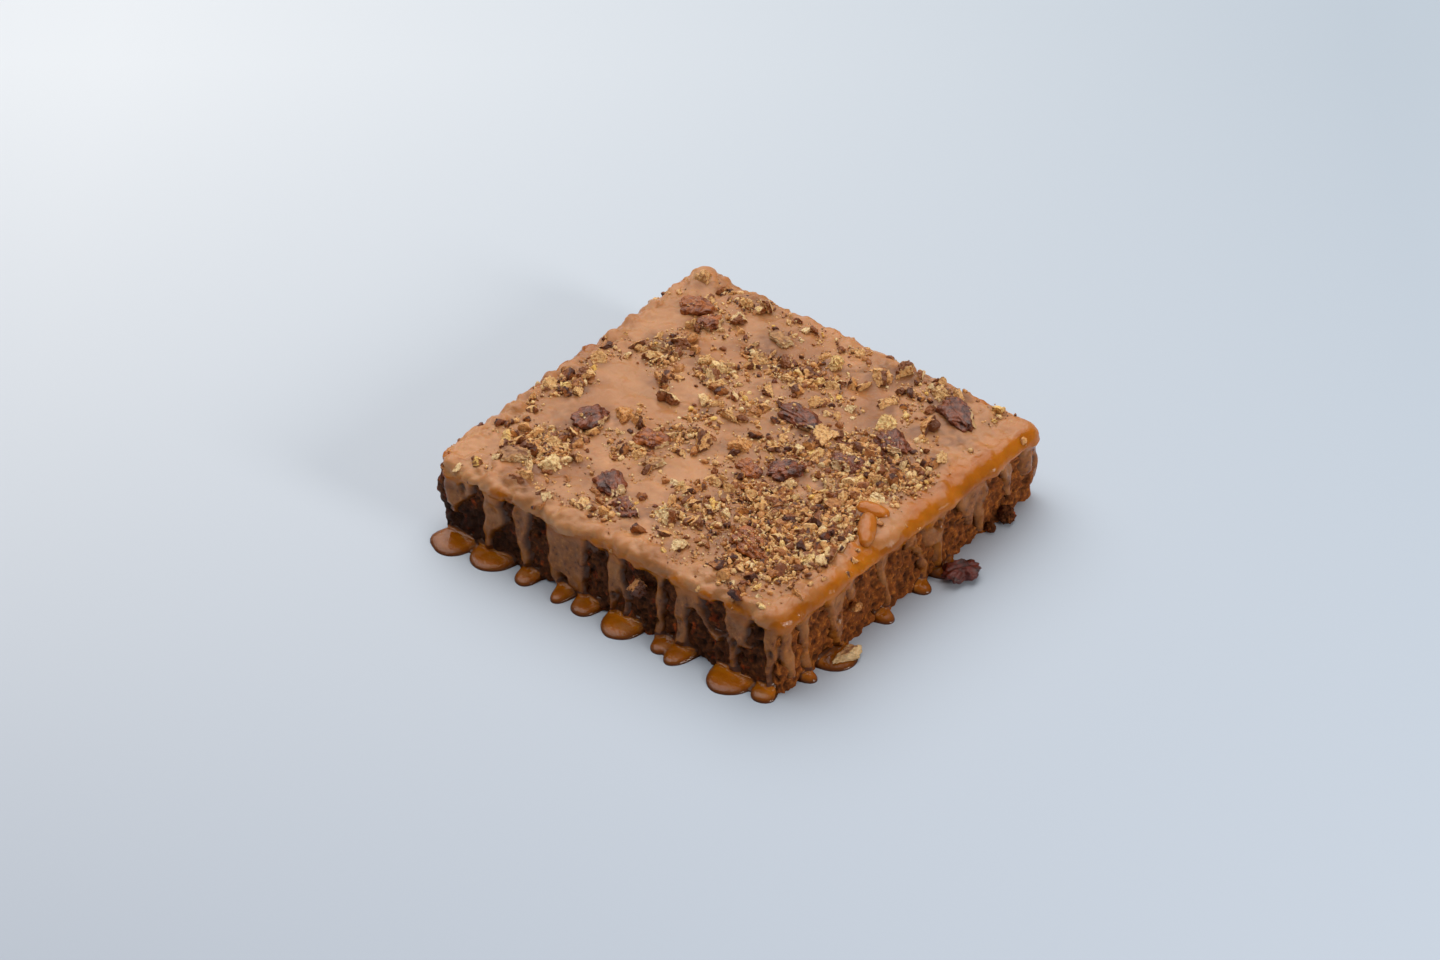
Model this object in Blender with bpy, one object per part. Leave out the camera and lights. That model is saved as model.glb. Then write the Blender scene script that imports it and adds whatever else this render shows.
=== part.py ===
"""Square date cake under poured toffee: a crumb block, its glaze and the pecans on it.

Sizes are in millimetres, and each mesh is scaled to metres as its object is made. The origin is the
middle of the underside, +Z is up, the front side faces -Y and the right side faces +X.
"""

import math
import random

import bmesh
import bpy
from mathutils import Matrix, Vector, noise

MM = 0.001
GAP = 0.3  # air between touching pieces
CORE_GAP = 0.4  # air between the block and the glaze over it

# The crumb block, corner by corner: front left, front right, back right, back left.
FOOT_CORNERS = ((-101.5, -95.5), (99.5, -96.0), (99.0, 100.0), (-102.5, 101.0))
SHOULDER_CORNERS = ((-102.0, -95.0), (96.0, -93.0), (100.5, 96.5), (-104.0, 101.0))
BLOCK_HEIGHT = 38.5
CENTRE_X = -1.5
CENTRE_Y = 2.5
HALF_X = 101.0
HALF_Y = 98.0
PERIMETER = 4 * (HALF_X + HALF_Y)
CORNER_RADIUS = 7.0
TOP_INSET = 1.6  # the top edge of the block lies this far in, under the glaze
CRAG_COARSE = (0.9, 27.0, 3.1)  # depth, spacing and seed of the crags
CRAG_FINE = (1.3, 9.5, 7.7)
# Where crumb bulges out: side, place along it, depth, half width, height and half height.
BULGES = (("front", -101.0, 4.5, 9.0, 26.0, 14.0), ("right", 98.0, 3.0, 9.0, 21.0, 14.0))

# The glaze.
GLAZE_TOP = 42.0
SHOULDER_ROWS = ((-1.8, 41.4), (0.7, 40.0), (2.2, 37.6))  # out from the block's rim, height
SHOULDER_INSET = 4.8
SWELL = (0.7, 34.0, 2.2)  # height, spacing and seed of the slow waves on top
RIPPLE = (0.35, 13.0, 9.1)
WAVES_FADE_AT = 36.0  # the height down the shoulder at which those waves have died away
LIP_HEIGHT = 34.6
LIP_WAVE = (1.6, 21.0, 1.3)
FILM = 1.7
FILM_ROUNDING = 2.2
BARE = 1.6
FILLET = 3.0
POOL_HEIGHT = 3.3

# The mesh: cells across the top, columns to a cell, and heights that block and glaze share.
CELLS = 14
COLUMNS_PER_CELL = 3
WALL_ROWS = (34.5, 29.5, 24.5, 19.5, 14.5, 9.5, 4.8)
FOOT_ROWS = (2.7, 1.4)
CUTTER_FOOT = -5.0
FLAT_ANGLE = math.radians(3)  # faces that turn less than this are made one

# Toffee on the front side: along X, height and half width at each point that it runs through.
FRONT_FLOWS = (
    ((-86, 37, 9), (-90, 27, 6), (-94, 17, 2.5)),
    ((-69, 36, 8), (-69.5, 24, 6.5), (-72, 14, 3), (-71, 0, 1.8)),
    ((-53, 34, 5), (-51, 22, 4), (-50, 9, 2.3), (-48, 0, 1.8)),
    ((-24, 34, 13), (-24, 20, 11.5)),
    ((-30, 18, 5), (-32, 6, 2.4), (-28, 0, 1.8)),
    ((-19, 18, 6), (-18, 8, 3.5), (-14, 0, 1.8)),
    ((-4, 32, 6), (-4, 25, 3)),
    ((5, 32, 5), (4, 20, 2.4), (2, 0, 1.7)),
    ((7, 24, 2.5), (10, 12, 1.8), (10, 1, 1.6)),
    ((31, 36, 4), (32, 18, 2), (31, 0, 1.8)),
    ((44, 34, 3), (44, 16, 2), (43, 0, 2.8)),
    ((50, 33, 8), (56, 25, 2), (62, 17.5, 1.5), (73, 18.5, 1.6), (84, 20, 1.5)),
    ((77, 33, 8), (76, 23, 5)),
    ((74, 19, 2.4), (74, 0, 2.2)),
    ((95, 36, 5), (95, 22, 3.5), (93, 12, 1.7), (93, 0, 1.7)),
)
# The same on the right side, along Y.
RIGHT_FLOWS = (
    ((-92, 34, 5), (-90, 20, 2.4), (-87, 8, 1.7)),
    ((-78, 32, 3.5), (-76, 12, 1.9), (-73, 0, 1.7)),
    ((-56, 32, 7.5), (-54, 20, 4.5), (-52, 10, 2), (-53, 0, 1.8)),
    ((-44, 32, 5), (-43, 25, 3)),
    ((-19, 31, 4), (-17, 16, 1.8), (-16, 0, 1.7)),
    ((3, 30, 3), (8, 22, 1.8), (11, 12, 1.7), (12, 0, 1.7)),
    ((20, 31, 9), (20, 25, 7.5)),
    ((22, 22, 3), (23, 0, 1.7)),
    ((46, 30, 6), (47, 14, 1.7)),
    ((55, 30, 4), (56, 6, 1.7)),
    ((76, 30, 3.5), (78, 13, 1.7)),
    ((91, 32, 4), (92, 20, 2.5)),
)
# Pools at the foot: side, place along it, half width and reach.
POOLS = (
    ("front", -90, 11, 15),
    ("front", -68, 11.5, 13),
    ("front", -46, 6.5, 10.5),
    ("front", -25, 5.5, 10.5),
    ("front", -11, 7.5, 11),
    ("front", 11, 11, 14),
    ("front", 35, 6, 9.5),
    ("front", 45, 7, 12),
    ("front", 74, 12, 14),
    ("front", 92, 6.5, 8),
    ("right", -57, 10.5, 12),
    ("right", -20, 5, 7),
    ("right", 8, 5, 7),
    ("right", 26, 8, 9),
    ("right", -76, 4, 5),
)
HIDDEN_FLOWS = 15  # on each of the back and left sides
HIDDEN_SEED = 21

# Pecans: name, X, Y, length, width, turn in degrees, look.
PECANS = (
    ("back_left_half", -82.0, 71.5, 16.5, 13.0, 20.0, "red"),
    ("back_left_piece", -69.0, 65.0, 13.0, 10.5, 60.0, "red"),
    ("back_right_half", 68.0, 79.0, 24.0, 14.0, -25.0, "dark"),
    ("back_pale_piece", -34.0, 74.0, 19.0, 10.0, -12.0, "pale"),
    ("right_lump", 58.0, 41.0, 19.0, 13.0, -35.0, "dark"),
    ("middle_half", 13.0, 30.0, 25.0, 12.5, -12.0, "dark"),
    ("centre_purple", 51.0, 15.0, 15.0, 12.0, 15.0, "dark"),
    ("centre_grey", 54.0, -2.0, 13.0, 10.0, -20.0, "pale"),
    ("centre_dark", 32.0, -5.0, 17.0, 13.0, 60.0, "dark"),
    ("centre_rust", 18.0, -15.0, 14.0, 9.5, -20.0, "red"),
    ("left_flake", -31.0, -26.0, 16.0, 12.0, 10.0, "red"),
    ("left_pair_near", -63.5, -31.0, 18.0, 14.0, 80.0, "dark"),
    ("left_tan_piece", -76.0, 34.0, 15.0, 9.5, 10.0, "pale"),
    ("front_purple", -24.0, -64.0, 18.0, 13.0, -35.0, "dark"),
    ("front_open_half", -7.0, -73.0, 15.0, 10.5, -30.0, "dark"),
    ("front_tan_piece", -17.0, -39.0, 13.5, 9.5, 30.0, "pale"),
    ("front_left_half", -71.0, -75.0, 17.5, 11.0, 25.0, "pale"),
    ("front_right_half", 54.0, -60.0, 25.0, 14.5, -20.0, "red"),
)
PECAN_HEIGHT = 0.56  # of the width
PECAN_SUNK = 0.30  # of the height
PECAN_GROOVE = (0.22, 0.3)  # depth and half width, of half the pecan
PECAN_WAIST = 0.1
PECAN_ROUGHNESS = 0.07
FOOT_PECANS = (
    ("pool_pecan", 107.0, -57.0, 17.0, 11.0, 68.0, "pale"),
    ("foot_pecan", 110.5, 25.0, 17.5, 13.0, 62.0, "red"),
)
FOOT_PECAN_CENTRE = 4.4  # height of the middle of a pecan at the foot

# Chips fused to the glaze: the hand-placed large ones, then those spread by rule.
LARGE_CHIPS = (
    (-61, 77, 9), (-2, 76, 10), (20, 79, 12), (29, 90, 10), (37, 65, 9), (62, 61, 11),
    (-13, 40, 10), (-41, 31, 9), (-12, 10, 10), (-59, 14, 10), (-46, 6, 9), (-69, 44, 9),
    (-92, 8, 8), (-87, -14, 9), (-95, -23, 8), (14, -51, 8), (11, -68, 10), (28, -80, 9),
    (21, -34, 8), (78, 2, 8), (-59, -86, 10), (-77, -54, 9), (-94, 90, 10), (-43, -19, 9),
    (5, -5, 10), (-11, -14, 11), (-53, -20, 11), (44, 52, 11), (30, 24, 11), (-54, -69, 11),
)  # fmt: skip
RULED_CHIPS = 12
CHIP_SIZES = (4.0, 7.0)
CHIP_CLEARANCE = 2.0
CHIP_SEED = 5
CHIP_WIDTHS = (0.65, 0.9)  # of the length
CHIP_DEPTHS = (0.5, 0.65)
CHIP_RISE = 0.12  # of the length, from the toffee to the middle of the chip
LUMP_ROUGHNESS = 0.14
GLAZED_NUT = (89.0, -18.0, 24.0, 9.0, 6.5, -54.0)  # X, Y, length, width, depth, turn, under toffee
GLAZED_NUT_ROUGHNESS = 0.04
CORNER_LUMP = (-95.0, 95.0, 17.0, 11.0, 6.0, -35.0)  # the same at the back left corner
SIDE_NUTS = (("front", 19, 25, 9), ("right", -41, 19, 6))  # side, along, height, size
SIDE_NUT_OUT = 0.8
RIGHT_FACE = 98.5
FOOT_CRUMBS = ((73.0, 8.0), (62.3, 5.0))  # along the right foot, size
FOOT_CRUMB_OUT = 0.42  # of the size, from the right face
CRUMB_SEED = 9

# Colour, roughness.
COLOURS = {
    "crumb": ((0.105, 0.036, 0.014), 0.9),
    "toffee": ((0.46, 0.22, 0.085), 0.35),
    "dark": ((0.075, 0.022, 0.014), 0.55),
    "red": ((0.19, 0.055, 0.018), 0.5),
    "pale": ((0.50, 0.31, 0.13), 0.6),
}


def clear_scene():
    for obj in list(bpy.data.objects):
        bpy.data.objects.remove(obj)


def material(name):
    found = bpy.data.materials.get(name)
    if found:
        return found
    colour, roughness = COLOURS[name]
    made = bpy.data.materials.new(name)
    made.use_nodes = True
    shader = made.node_tree.nodes["Principled BSDF"]
    shader.inputs["Base Color"].default_value = (*colour, 1.0)
    shader.inputs["Roughness"].default_value = roughness
    shader.inputs["Metallic"].default_value = 0.0
    return made


def new_object(name, bm, look, collection=None):
    """Stores a bmesh drawn in millimetres as an object in metres."""
    bmesh.ops.scale(bm, verts=bm.verts, vec=(MM, MM, MM))
    bmesh.ops.triangulate(bm, faces=bm.faces)
    bmesh.ops.recalc_face_normals(bm, faces=bm.faces)
    mesh = bpy.data.meshes.new(name)
    bm.to_mesh(mesh)
    bm.free()
    mesh.materials.append(material(look))
    obj = bpy.data.objects.new(name, mesh)
    (collection or bpy.context.scene.collection).objects.link(obj)
    return obj


def wave(point, values):
    depth, spacing, seed = values
    return depth * noise.noise(Vector(point) / spacing + Vector((seed, -seed, 0.5 * seed)))


# The block's outline. A place on it is a point (u, v) on the edge of the square from -1 to 1.


def around(side, along):
    """How far round the outline, from the front left corner, a place on a side is."""
    if side == "front":
        return HALF_X + along - CENTRE_X
    if side == "right":
        return 2 * HALF_X + HALF_Y + along - CENTRE_Y
    if side == "back":
        return 3 * HALF_X + 2 * HALF_Y - along + CENTRE_X
    return 4 * HALF_X + 3 * HALF_Y - along + CENTRE_Y


def distance_round(u, v):
    if -v >= abs(u):
        return around("front", CENTRE_X + u * HALF_X)
    if u >= abs(v):
        return around("right", CENTRE_Y + v * HALF_Y)
    if v >= abs(u):
        return around("back", CENTRE_X + u * HALF_X)
    return around("left", CENTRE_Y + v * HALF_Y) % PERIMETER


def rounded(u, v):
    """The square's edge point moved onto a rounded corner, and the way out of the block there."""
    flat_x, flat_y = (1 - abs(u)) * HALF_X, (1 - abs(v)) * HALF_Y
    from_corner = max(flat_x, flat_y)
    turn = math.pi / 4 * max(0.0, 1 - from_corner / CORNER_RADIUS)
    inward = CORNER_RADIUS * (1 - math.cos(turn))
    if from_corner < CORNER_RADIUS:
        from_corner = CORNER_RADIUS * (1 - math.sin(turn))
    along_x = flat_y <= flat_x
    out = (math.sin(turn), math.cos(turn)) if along_x else (math.cos(turn), math.sin(turn))
    in_x, in_y = (from_corner, inward) if along_x else (inward, from_corner)
    sign_x, sign_y = math.copysign(1, u), math.copysign(1, v)
    moved = (sign_x * (1 - in_x / HALF_X), sign_y * (1 - in_y / HALF_Y))
    return moved, Vector((sign_x * out[0], sign_y * out[1], 0))


def in_corners(corners, u, v):
    front = Vector(corners[0]).lerp(Vector(corners[1]), (u + 1) / 2)
    back = Vector(corners[3]).lerp(Vector(corners[2]), (u + 1) / 2)
    return front.lerp(back, (v + 1) / 2)


def rim(u, v, height):
    """A point of the block's smooth side, and the way out of it."""
    (u, v), out = rounded(u, v)
    share = max(0.0, min(1.0, height / BLOCK_HEIGHT))
    flat = in_corners(FOOT_CORNERS, u, v).lerp(in_corners(SHOULDER_CORNERS, u, v), share)
    return Vector((flat.x, flat.y, height)), out


def apart(place, centre):
    """How far one place round the outline is past another, the shorter way."""
    return (place - centre + PERIMETER / 2) % PERIMETER - PERIMETER / 2


def bulge(place, height):
    total = 0.0
    for side, along, depth, wide, middle, high in BULGES:
        offset = apart(place, around(side, along)) / wide
        total += depth * math.exp(-(offset**2) - ((height - middle) / high) ** 2)
    return total


def crag(u, v, height):
    lowest = WALL_ROWS[-1]
    if 0 < height < lowest:  # straight between the last rows
        return crag(u, v, 0) + (crag(u, v, lowest) - crag(u, v, 0)) * height / lowest
    point, _ = rim(u, v, max(height, 0))
    bulged = bulge(distance_round(u, v), max(height, 0))
    return wave(point, CRAG_COARSE) + wave(point, CRAG_FINE) + bulged


# The toffee's cover, as a signed distance in from its edge on the unrolled side.


def smooth_max(a, b):
    near = max(FILLET - abs(a - b), 0.0) / FILLET
    return max(a, b) + near * near * FILLET / 4


def inside_run(place, height, start, end):
    (s0, z0, r0), (s1, z1, r1) = start, end
    run = Vector((s1 - s0, z1 - z0))
    to = Vector((apart(place, s0), height - z0))
    share = max(0.0, min(1.0, to.dot(run) / run.length_squared))
    return r0 + (r1 - r0) * share - (to - run * share).length


def hidden_flows():
    """Drips for the back and left sides, of the sizes that the front and right sides have."""
    draw = random.Random(HIDDEN_SEED)
    flows = []
    for side, half in (("back", HALF_X), ("left", HALF_Y)):
        for i in range(HIDDEN_FLOWS):
            along = (2 * (i + draw.uniform(0.2, 0.8)) / HIDDEN_FLOWS - 1) * half
            foot = draw.choice((0.0, 6.0, 11.0, 16.0, 21.0))
            wide = draw.choice((2.5, 3.5, 5.0, 7.0))
            lean = draw.uniform(-3.0, 3.0)
            middle = (around(side, along + lean / 2), (32 + foot) / 2, 0.6 * wide + 0.6)
            tip = (around(side, along + lean), foot, draw.uniform(1.7, 2.4))
            flows.append(((around(side, along), 33.0, wide), middle, tip))
    return flows


def placed_flows():
    flows = []
    for side, listed in (("front", FRONT_FLOWS), ("right", RIGHT_FLOWS)):
        flows += [tuple((around(side, a), z, r) for a, z, r in flow) for flow in listed]
    return flows + hidden_flows()


def placed_pools(flows):
    pools = [(around(side, a), half, reach) for side, a, half, reach in POOLS]
    draw = random.Random(HIDDEN_SEED + 1)
    for flow in flows:
        place, foot, _ = flow[-1]
        if place > 2 * (HALF_X + HALF_Y) and foot == 0:
            pools.append((place, draw.uniform(5, 10), draw.uniform(5, 10)))
    return pools


def cover(place, height, flows):
    covered = height - LIP_HEIGHT - wave((place, 0, 0), LIP_WAVE)
    for flow in flows:
        for start, end in zip(flow, flow[1:]):
            covered = smooth_max(covered, inside_run(place, height, start, end))
    return covered


def pool_reach(place, height, pools):
    reached = -BARE
    for centre, half, reach in pools:
        left = 1 - (apart(place, centre) / half) ** 2 - (height / POOL_HEIGHT) ** 2
        if left > 0:
            reached = max(reached, reach * math.sqrt(left))
    return reached


def toffee_depth(u, v, height, flows, pools):
    """How far the toffee stands out of the block's side, below zero where the side is bare."""
    place = distance_round(u, v)
    third = PERIMETER / (4 * CELLS * COLUMNS_PER_CELL) / 3
    covered = max(cover(place + shift, height, flows) for shift in (-third, 0, third))
    if covered > 0:
        depth = FILM * math.sqrt(min(1.0, covered / FILM_ROUNDING))
    else:
        depth = max(-BARE, covered)
    return max(depth, pool_reach(place, height, pools))


# Solids wrapped on the outline: a grid for the top, and rows that hang from its edge.


def parameter_box(rows):
    """A box over the square from -1 to 1, whose vertices count their row in Z."""
    bm = bmesh.new()
    bmesh.ops.create_grid(bm, x_segments=CELLS, y_segments=CELLS, size=1)
    edge = [e for e in bm.edges if e.is_boundary]
    bmesh.ops.subdivide_edges(bm, edges=edge, cuts=COLUMNS_PER_CELL - 1)
    edge = [e for e in bm.edges if e.is_boundary]
    for _ in range(rows):
        made = bmesh.ops.extrude_edge_only(bm, edges=edge)["geom"]
        row = [g for g in made if isinstance(g, bmesh.types.BMVert)]
        bmesh.ops.translate(bm, verts=row, vec=(0, 0, 1))
        edge = [g for g in made if isinstance(g, bmesh.types.BMEdge)]
    bmesh.ops.edgeloop_fill(bm, edges=edge)
    return bm


def wrapped(rows, top_point, row_point):
    """A box whose vertices a rule for the top and one for each lower row put in place."""
    bm = parameter_box(rows)
    for vert in bm.verts:
        u, v, row = vert.co.x, vert.co.y, round(vert.co.z)
        if row:
            vert.co = row_point(u, v, row - 1)
            continue
        reach = max(abs(u), abs(v))
        if reach > 0:
            (u, v), _ = rounded(u / reach, v / reach)
            u, v = u * reach, v * reach
        vert.co = top_point(u, v)
    return bm


def block_mesh(grown=0.0, foot=0.0):
    """The crumb block. The cutter for the glaze is the same block, grown and run on downwards."""
    heights = (*WALL_ROWS, 0.0, foot) if foot else (*WALL_ROWS, 0.0)
    inset = 1 - (TOP_INSET - grown) / HALF_X

    def top_point(u, v):
        flat = in_corners(SHOULDER_CORNERS, u * inset, v * inset)
        return Vector((flat.x, flat.y, BLOCK_HEIGHT + grown))

    def row_point(u, v, row):
        point, out = rim(u, v, heights[row])
        return point + out * (crag(u, v, max(heights[row], 0)) + grown)

    bm = wrapped(len(heights), top_point, row_point)
    top = [f for f in bm.faces if all(v.co.z > BLOCK_HEIGHT - 0.1 for v in f.verts)]
    bmesh.ops.dissolve_faces(bm, faces=top)
    return bm


def top_height(x, y):
    return GLAZE_TOP + wave((x, y, 0), SWELL) + wave((x, y, 0), RIPPLE)


def glaze_mesh():
    """The toffee's outside, run on through the block, which is cut out of it afterwards."""
    flows = placed_flows()
    pools = placed_pools(flows)
    heights = (*WALL_ROWS, *FOOT_ROWS, 0.0)
    inset = 1 - SHOULDER_INSET / HALF_X

    def top_point(u, v):
        flat = in_corners(SHOULDER_CORNERS, u * inset, v * inset)
        return Vector((flat.x, flat.y, top_height(flat.x, flat.y)))

    def row_point(u, v, row):
        if row < len(SHOULDER_ROWS):
            out_by, height = SHOULDER_ROWS[row]
            point, out = rim(u, v, height)
            left = (height - WAVES_FADE_AT) / (GLAZE_TOP - WAVES_FADE_AT)
            rise = (top_height(point.x, point.y) - GLAZE_TOP) * left
            return point + out * out_by + Vector((0, 0, rise))
        height = heights[row - len(SHOULDER_ROWS)]
        point, out = rim(u, v, height)
        depth = crag(u, v, height) + toffee_depth(u, v, height, flows, pools)
        return point + out * depth

    return wrapped(len(SHOULDER_ROWS) + len(heights), top_point, row_point)


# Nuts.


def lump(size, place, turn, draw, divisions=1, roughness=LUMP_ROUGHNESS):
    """A rough lump: size and place are in millimetres, turn is about Z in degrees."""
    bm = bmesh.new()
    bmesh.ops.create_icosphere(bm, subdivisions=divisions, radius=0.5)
    for vert in bm.verts:
        vert.co *= 1 + draw.uniform(-roughness, roughness)
    bmesh.ops.scale(bm, verts=bm.verts, vec=size)
    bmesh.ops.rotate(bm, verts=bm.verts, matrix=Matrix.Rotation(math.radians(turn), 3, "Z"))
    bmesh.ops.translate(bm, verts=bm.verts, vec=place)
    return bm


def pecan_mesh(x, y, length, width, turn, centre, draw, grown=0.0):
    """Half a pecan: a long lump, grooved down its back and waisted."""
    bm = bmesh.new()
    bmesh.ops.create_icosphere(bm, subdivisions=2, radius=1)
    half = Vector((length, width, PECAN_HEIGHT * width)) / 2
    deep, wide = PECAN_GROOVE
    for vert in bm.verts:
        groove = deep * math.exp(-((vert.co.y / wide) ** 2)) * max(0.0, vert.co.z)
        waist = 1 - PECAN_WAIST * math.cos(2 * math.pi * vert.co.x)
        rough = 1 + draw.uniform(-PECAN_ROUGHNESS, PECAN_ROUGHNESS)
        shape = Vector((vert.co.x, vert.co.y * waist, vert.co.z - groove)) * rough
        vert.co = Vector((shape.x * half.x, shape.y * half.y, shape.z * half.z))
    bm.normal_update()
    for vert in bm.verts:
        vert.co += vert.normal * grown
    bmesh.ops.rotate(bm, verts=bm.verts, matrix=Matrix.Rotation(math.radians(turn), 3, "Z"))
    bmesh.ops.translate(bm, verts=bm.verts, vec=(x, y, centre))
    return bm


def pecan_places():
    """Every pecan as its name, look and the values that its mesh takes."""
    for name, x, y, length, width, turn, look in PECANS:
        centre = top_height(x, y) + (0.5 - PECAN_SUNK) * PECAN_HEIGHT * width
        yield name, look, (x, y, length, width, turn, centre)
    for name, x, y, length, width, turn, look in FOOT_PECANS:
        yield name, look, (x, y, length, width, turn, FOOT_PECAN_CENTRE)


def chip_density(x, y):
    """How thickly chips lie: most at the front right, least along the left and back."""
    near_heap = math.exp(-(((x - 55) / 45) ** 2 + ((y + 30) / 50) ** 2))
    return 0.25 + 0.75 * near_heap


def chip_places():
    """Places and sizes of the chips that a rule spreads, clear of the pecans and of each other."""
    draw = random.Random(CHIP_SEED)
    taken = [(x, y, length / 2) for _, x, y, length, *_ in PECANS]
    taken += [(x, y, size / 2) for x, y, size in LARGE_CHIPS]
    chips = []
    while len(chips) < RULED_CHIPS:
        x, y = draw.uniform(-88, 88), draw.uniform(-84, 86)
        size = draw.uniform(*CHIP_SIZES)
        if draw.random() > chip_density(x, y):
            continue
        if all(math.hypot(x - a, y - b) > r + size / 2 + CHIP_CLEARANCE for a, b, r in taken):
            taken.append((x, y, size / 2))
            chips.append((x, y, size))
    return chips


def add_chips(collection):
    draw = random.Random(CHIP_SEED + 1)
    for x, y, size in [*LARGE_CHIPS, *chip_places()]:
        shape = (size, size * draw.uniform(*CHIP_WIDTHS), size * draw.uniform(*CHIP_DEPTHS))
        place = (x, y, top_height(x, y) + CHIP_RISE * size)
        bm = lump(shape, place, draw.uniform(0, 180), draw)
        new_object("chip", bm, "pale", collection)
    for x, y, length, width, depth, turn in (GLAZED_NUT, CORNER_LUMP):
        shape = (length, width, depth)
        bm = lump(shape, (x, y, GLAZE_TOP), turn, draw, 2, GLAZED_NUT_ROUGHNESS)
        new_object("glazed_nut", bm, "toffee", collection)
    for side, along, height, size in SIDE_NUTS:
        out = SIDE_NUT_OUT
        spot = (along, FOOT_CORNERS[0][1] - out) if side == "front" else (RIGHT_FACE + out, along)
        bm = lump((size, size, size), (*spot, height), 0, draw)
        new_object("side_nut", bm, "pale", collection)


# Joining and cutting.


def boolean(obj, operation, collection):
    """Joins or cuts with every object of a collection, applies it and removes them."""
    modifier = obj.modifiers.new("cut", "BOOLEAN")
    modifier.operation = operation
    modifier.operand_type = "COLLECTION"
    modifier.collection = collection
    modifier.solver = "EXACT"
    bpy.context.view_layer.update()
    evaluated = obj.evaluated_get(bpy.context.evaluated_depsgraph_get())
    result = bpy.data.meshes.new_from_object(evaluated)
    obj.modifiers.clear()
    old, obj.data = obj.data, result
    bpy.data.meshes.remove(old)
    for other in list(collection.objects):
        bpy.data.objects.remove(other)
    bpy.data.collections.remove(collection)


def islands(bm):
    left = set(bm.verts)
    while left:
        island, edge = set(), [left.pop()]
        while edge:
            vert = edge.pop()
            island.add(vert)
            for link in vert.link_edges:
                other = link.other_vert(vert)
                if other in left:
                    left.remove(other)
                    edge.append(other)
        yield island


def keep_largest_body(obj):
    """Drops the scraps that a cut leaves, and fills sealed hollows."""
    bm = bmesh.new()
    bm.from_mesh(obj.data)
    bmesh.ops.remove_doubles(bm, verts=bm.verts, dist=0.002 * MM)
    bmesh.ops.dissolve_degenerate(bm, edges=bm.edges, dist=0.002 * MM)
    found = sorted(islands(bm), key=len)
    for island in found[:-1]:
        bmesh.ops.delete(bm, geom=list(island), context="VERTS")
    bmesh.ops.dissolve_limit(bm, angle_limit=FLAT_ANGLE, verts=bm.verts, edges=bm.edges)
    bmesh.ops.triangulate(bm, faces=bm.faces)
    bm.to_mesh(obj.data)
    bm.free()


def new_collection(name):
    made = bpy.data.collections.new(name)
    bpy.context.scene.collection.children.link(made)
    return made


def make_pecans(cutters):
    for number, (name, look, values) in enumerate(pecan_places()):
        bm = pecan_mesh(*values, random.Random(number))
        new_object(name, bm, look)
        bm = pecan_mesh(*values, random.Random(number), grown=GAP)
        new_object("seat", bm, look, cutters)


def make_cake():
    cake = new_object("cake", block_mesh(), "crumb")
    crumbs = new_collection("crumbs")
    draw = random.Random(CRUMB_SEED)
    for along, size in FOOT_CRUMBS:
        place = (RIGHT_FACE + FOOT_CRUMB_OUT * size, along, size / 2)
        new_object("crumb", lump((size, size, size), place, 0, draw), "crumb", crumbs)
    boolean(cake, "UNION", crumbs)
    keep_largest_body(cake)
    return cake


def make_glaze():
    glaze = new_object("toffee_glaze", glaze_mesh(), "toffee")
    chips = new_collection("chips")
    add_chips(chips)
    boolean(glaze, "UNION", chips)
    cutters = new_collection("cutters")
    new_object("core", block_mesh(grown=CORE_GAP, foot=CUTTER_FOOT), "crumb", cutters)
    make_pecans(cutters)
    boolean(glaze, "DIFFERENCE", cutters)
    keep_largest_body(glaze)
    return glaze


def main():
    clear_scene()
    make_cake()
    make_glaze()


main()
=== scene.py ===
import math
import random

import bmesh
import bpy
import numpy as np
from mathutils import Matrix, Vector, noise


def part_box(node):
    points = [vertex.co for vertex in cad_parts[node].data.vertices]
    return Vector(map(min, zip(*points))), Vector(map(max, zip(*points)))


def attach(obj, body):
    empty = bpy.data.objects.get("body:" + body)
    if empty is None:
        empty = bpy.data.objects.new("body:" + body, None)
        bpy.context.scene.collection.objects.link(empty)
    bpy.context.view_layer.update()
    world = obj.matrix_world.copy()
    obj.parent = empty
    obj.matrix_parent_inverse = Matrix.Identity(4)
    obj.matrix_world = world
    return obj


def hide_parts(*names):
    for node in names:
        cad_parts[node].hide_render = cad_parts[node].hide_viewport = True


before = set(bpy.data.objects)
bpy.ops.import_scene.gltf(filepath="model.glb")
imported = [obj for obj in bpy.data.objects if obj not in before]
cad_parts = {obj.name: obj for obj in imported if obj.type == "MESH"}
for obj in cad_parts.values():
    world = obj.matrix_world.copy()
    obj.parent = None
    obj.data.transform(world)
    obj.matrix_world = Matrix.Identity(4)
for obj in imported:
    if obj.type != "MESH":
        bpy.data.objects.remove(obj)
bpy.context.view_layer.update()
print("frame loaded")

mm = 0.001  # shapes are drawn in millimetres and stored in metres

view = {"place": (1.0611, -1.3422, 1.2931), "lookAt": (-0.0230, 0.0149, 0.0), "lens": 114.38}

studio = {
    "floorSize": 9.0,
    "floorLeftLight": ((0.455, 0.505, 0.585), (0.80, 0.84, 0.89)),  # nearest and farthest tone, with the fall of light and shade painted in
    # painted light and shade on the right, nearest and farthest
    "floorRightLight": ((0.568, 0.641, 0.744), (0.512, 0.586, 0.673)),
    "floorAcross": (0.78, 0.62),  # the way along which the tone goes from left to right
    "floorReach": (0.34, -0.35, 0.40),  # how far to each side, near and far the tones lie
    "world": ((0.92, 0.95, 1.0), 0.2),
    "overhead": ((-0.42, 0.28, 0.86), 75, 2.75, (1.0, 0.98, 0.95)),  # from, angle, power, colour
    "key": ((0.93, 0.08, 0.36), 16, 1.1, (1.0, 0.96, 0.90)),
}


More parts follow.
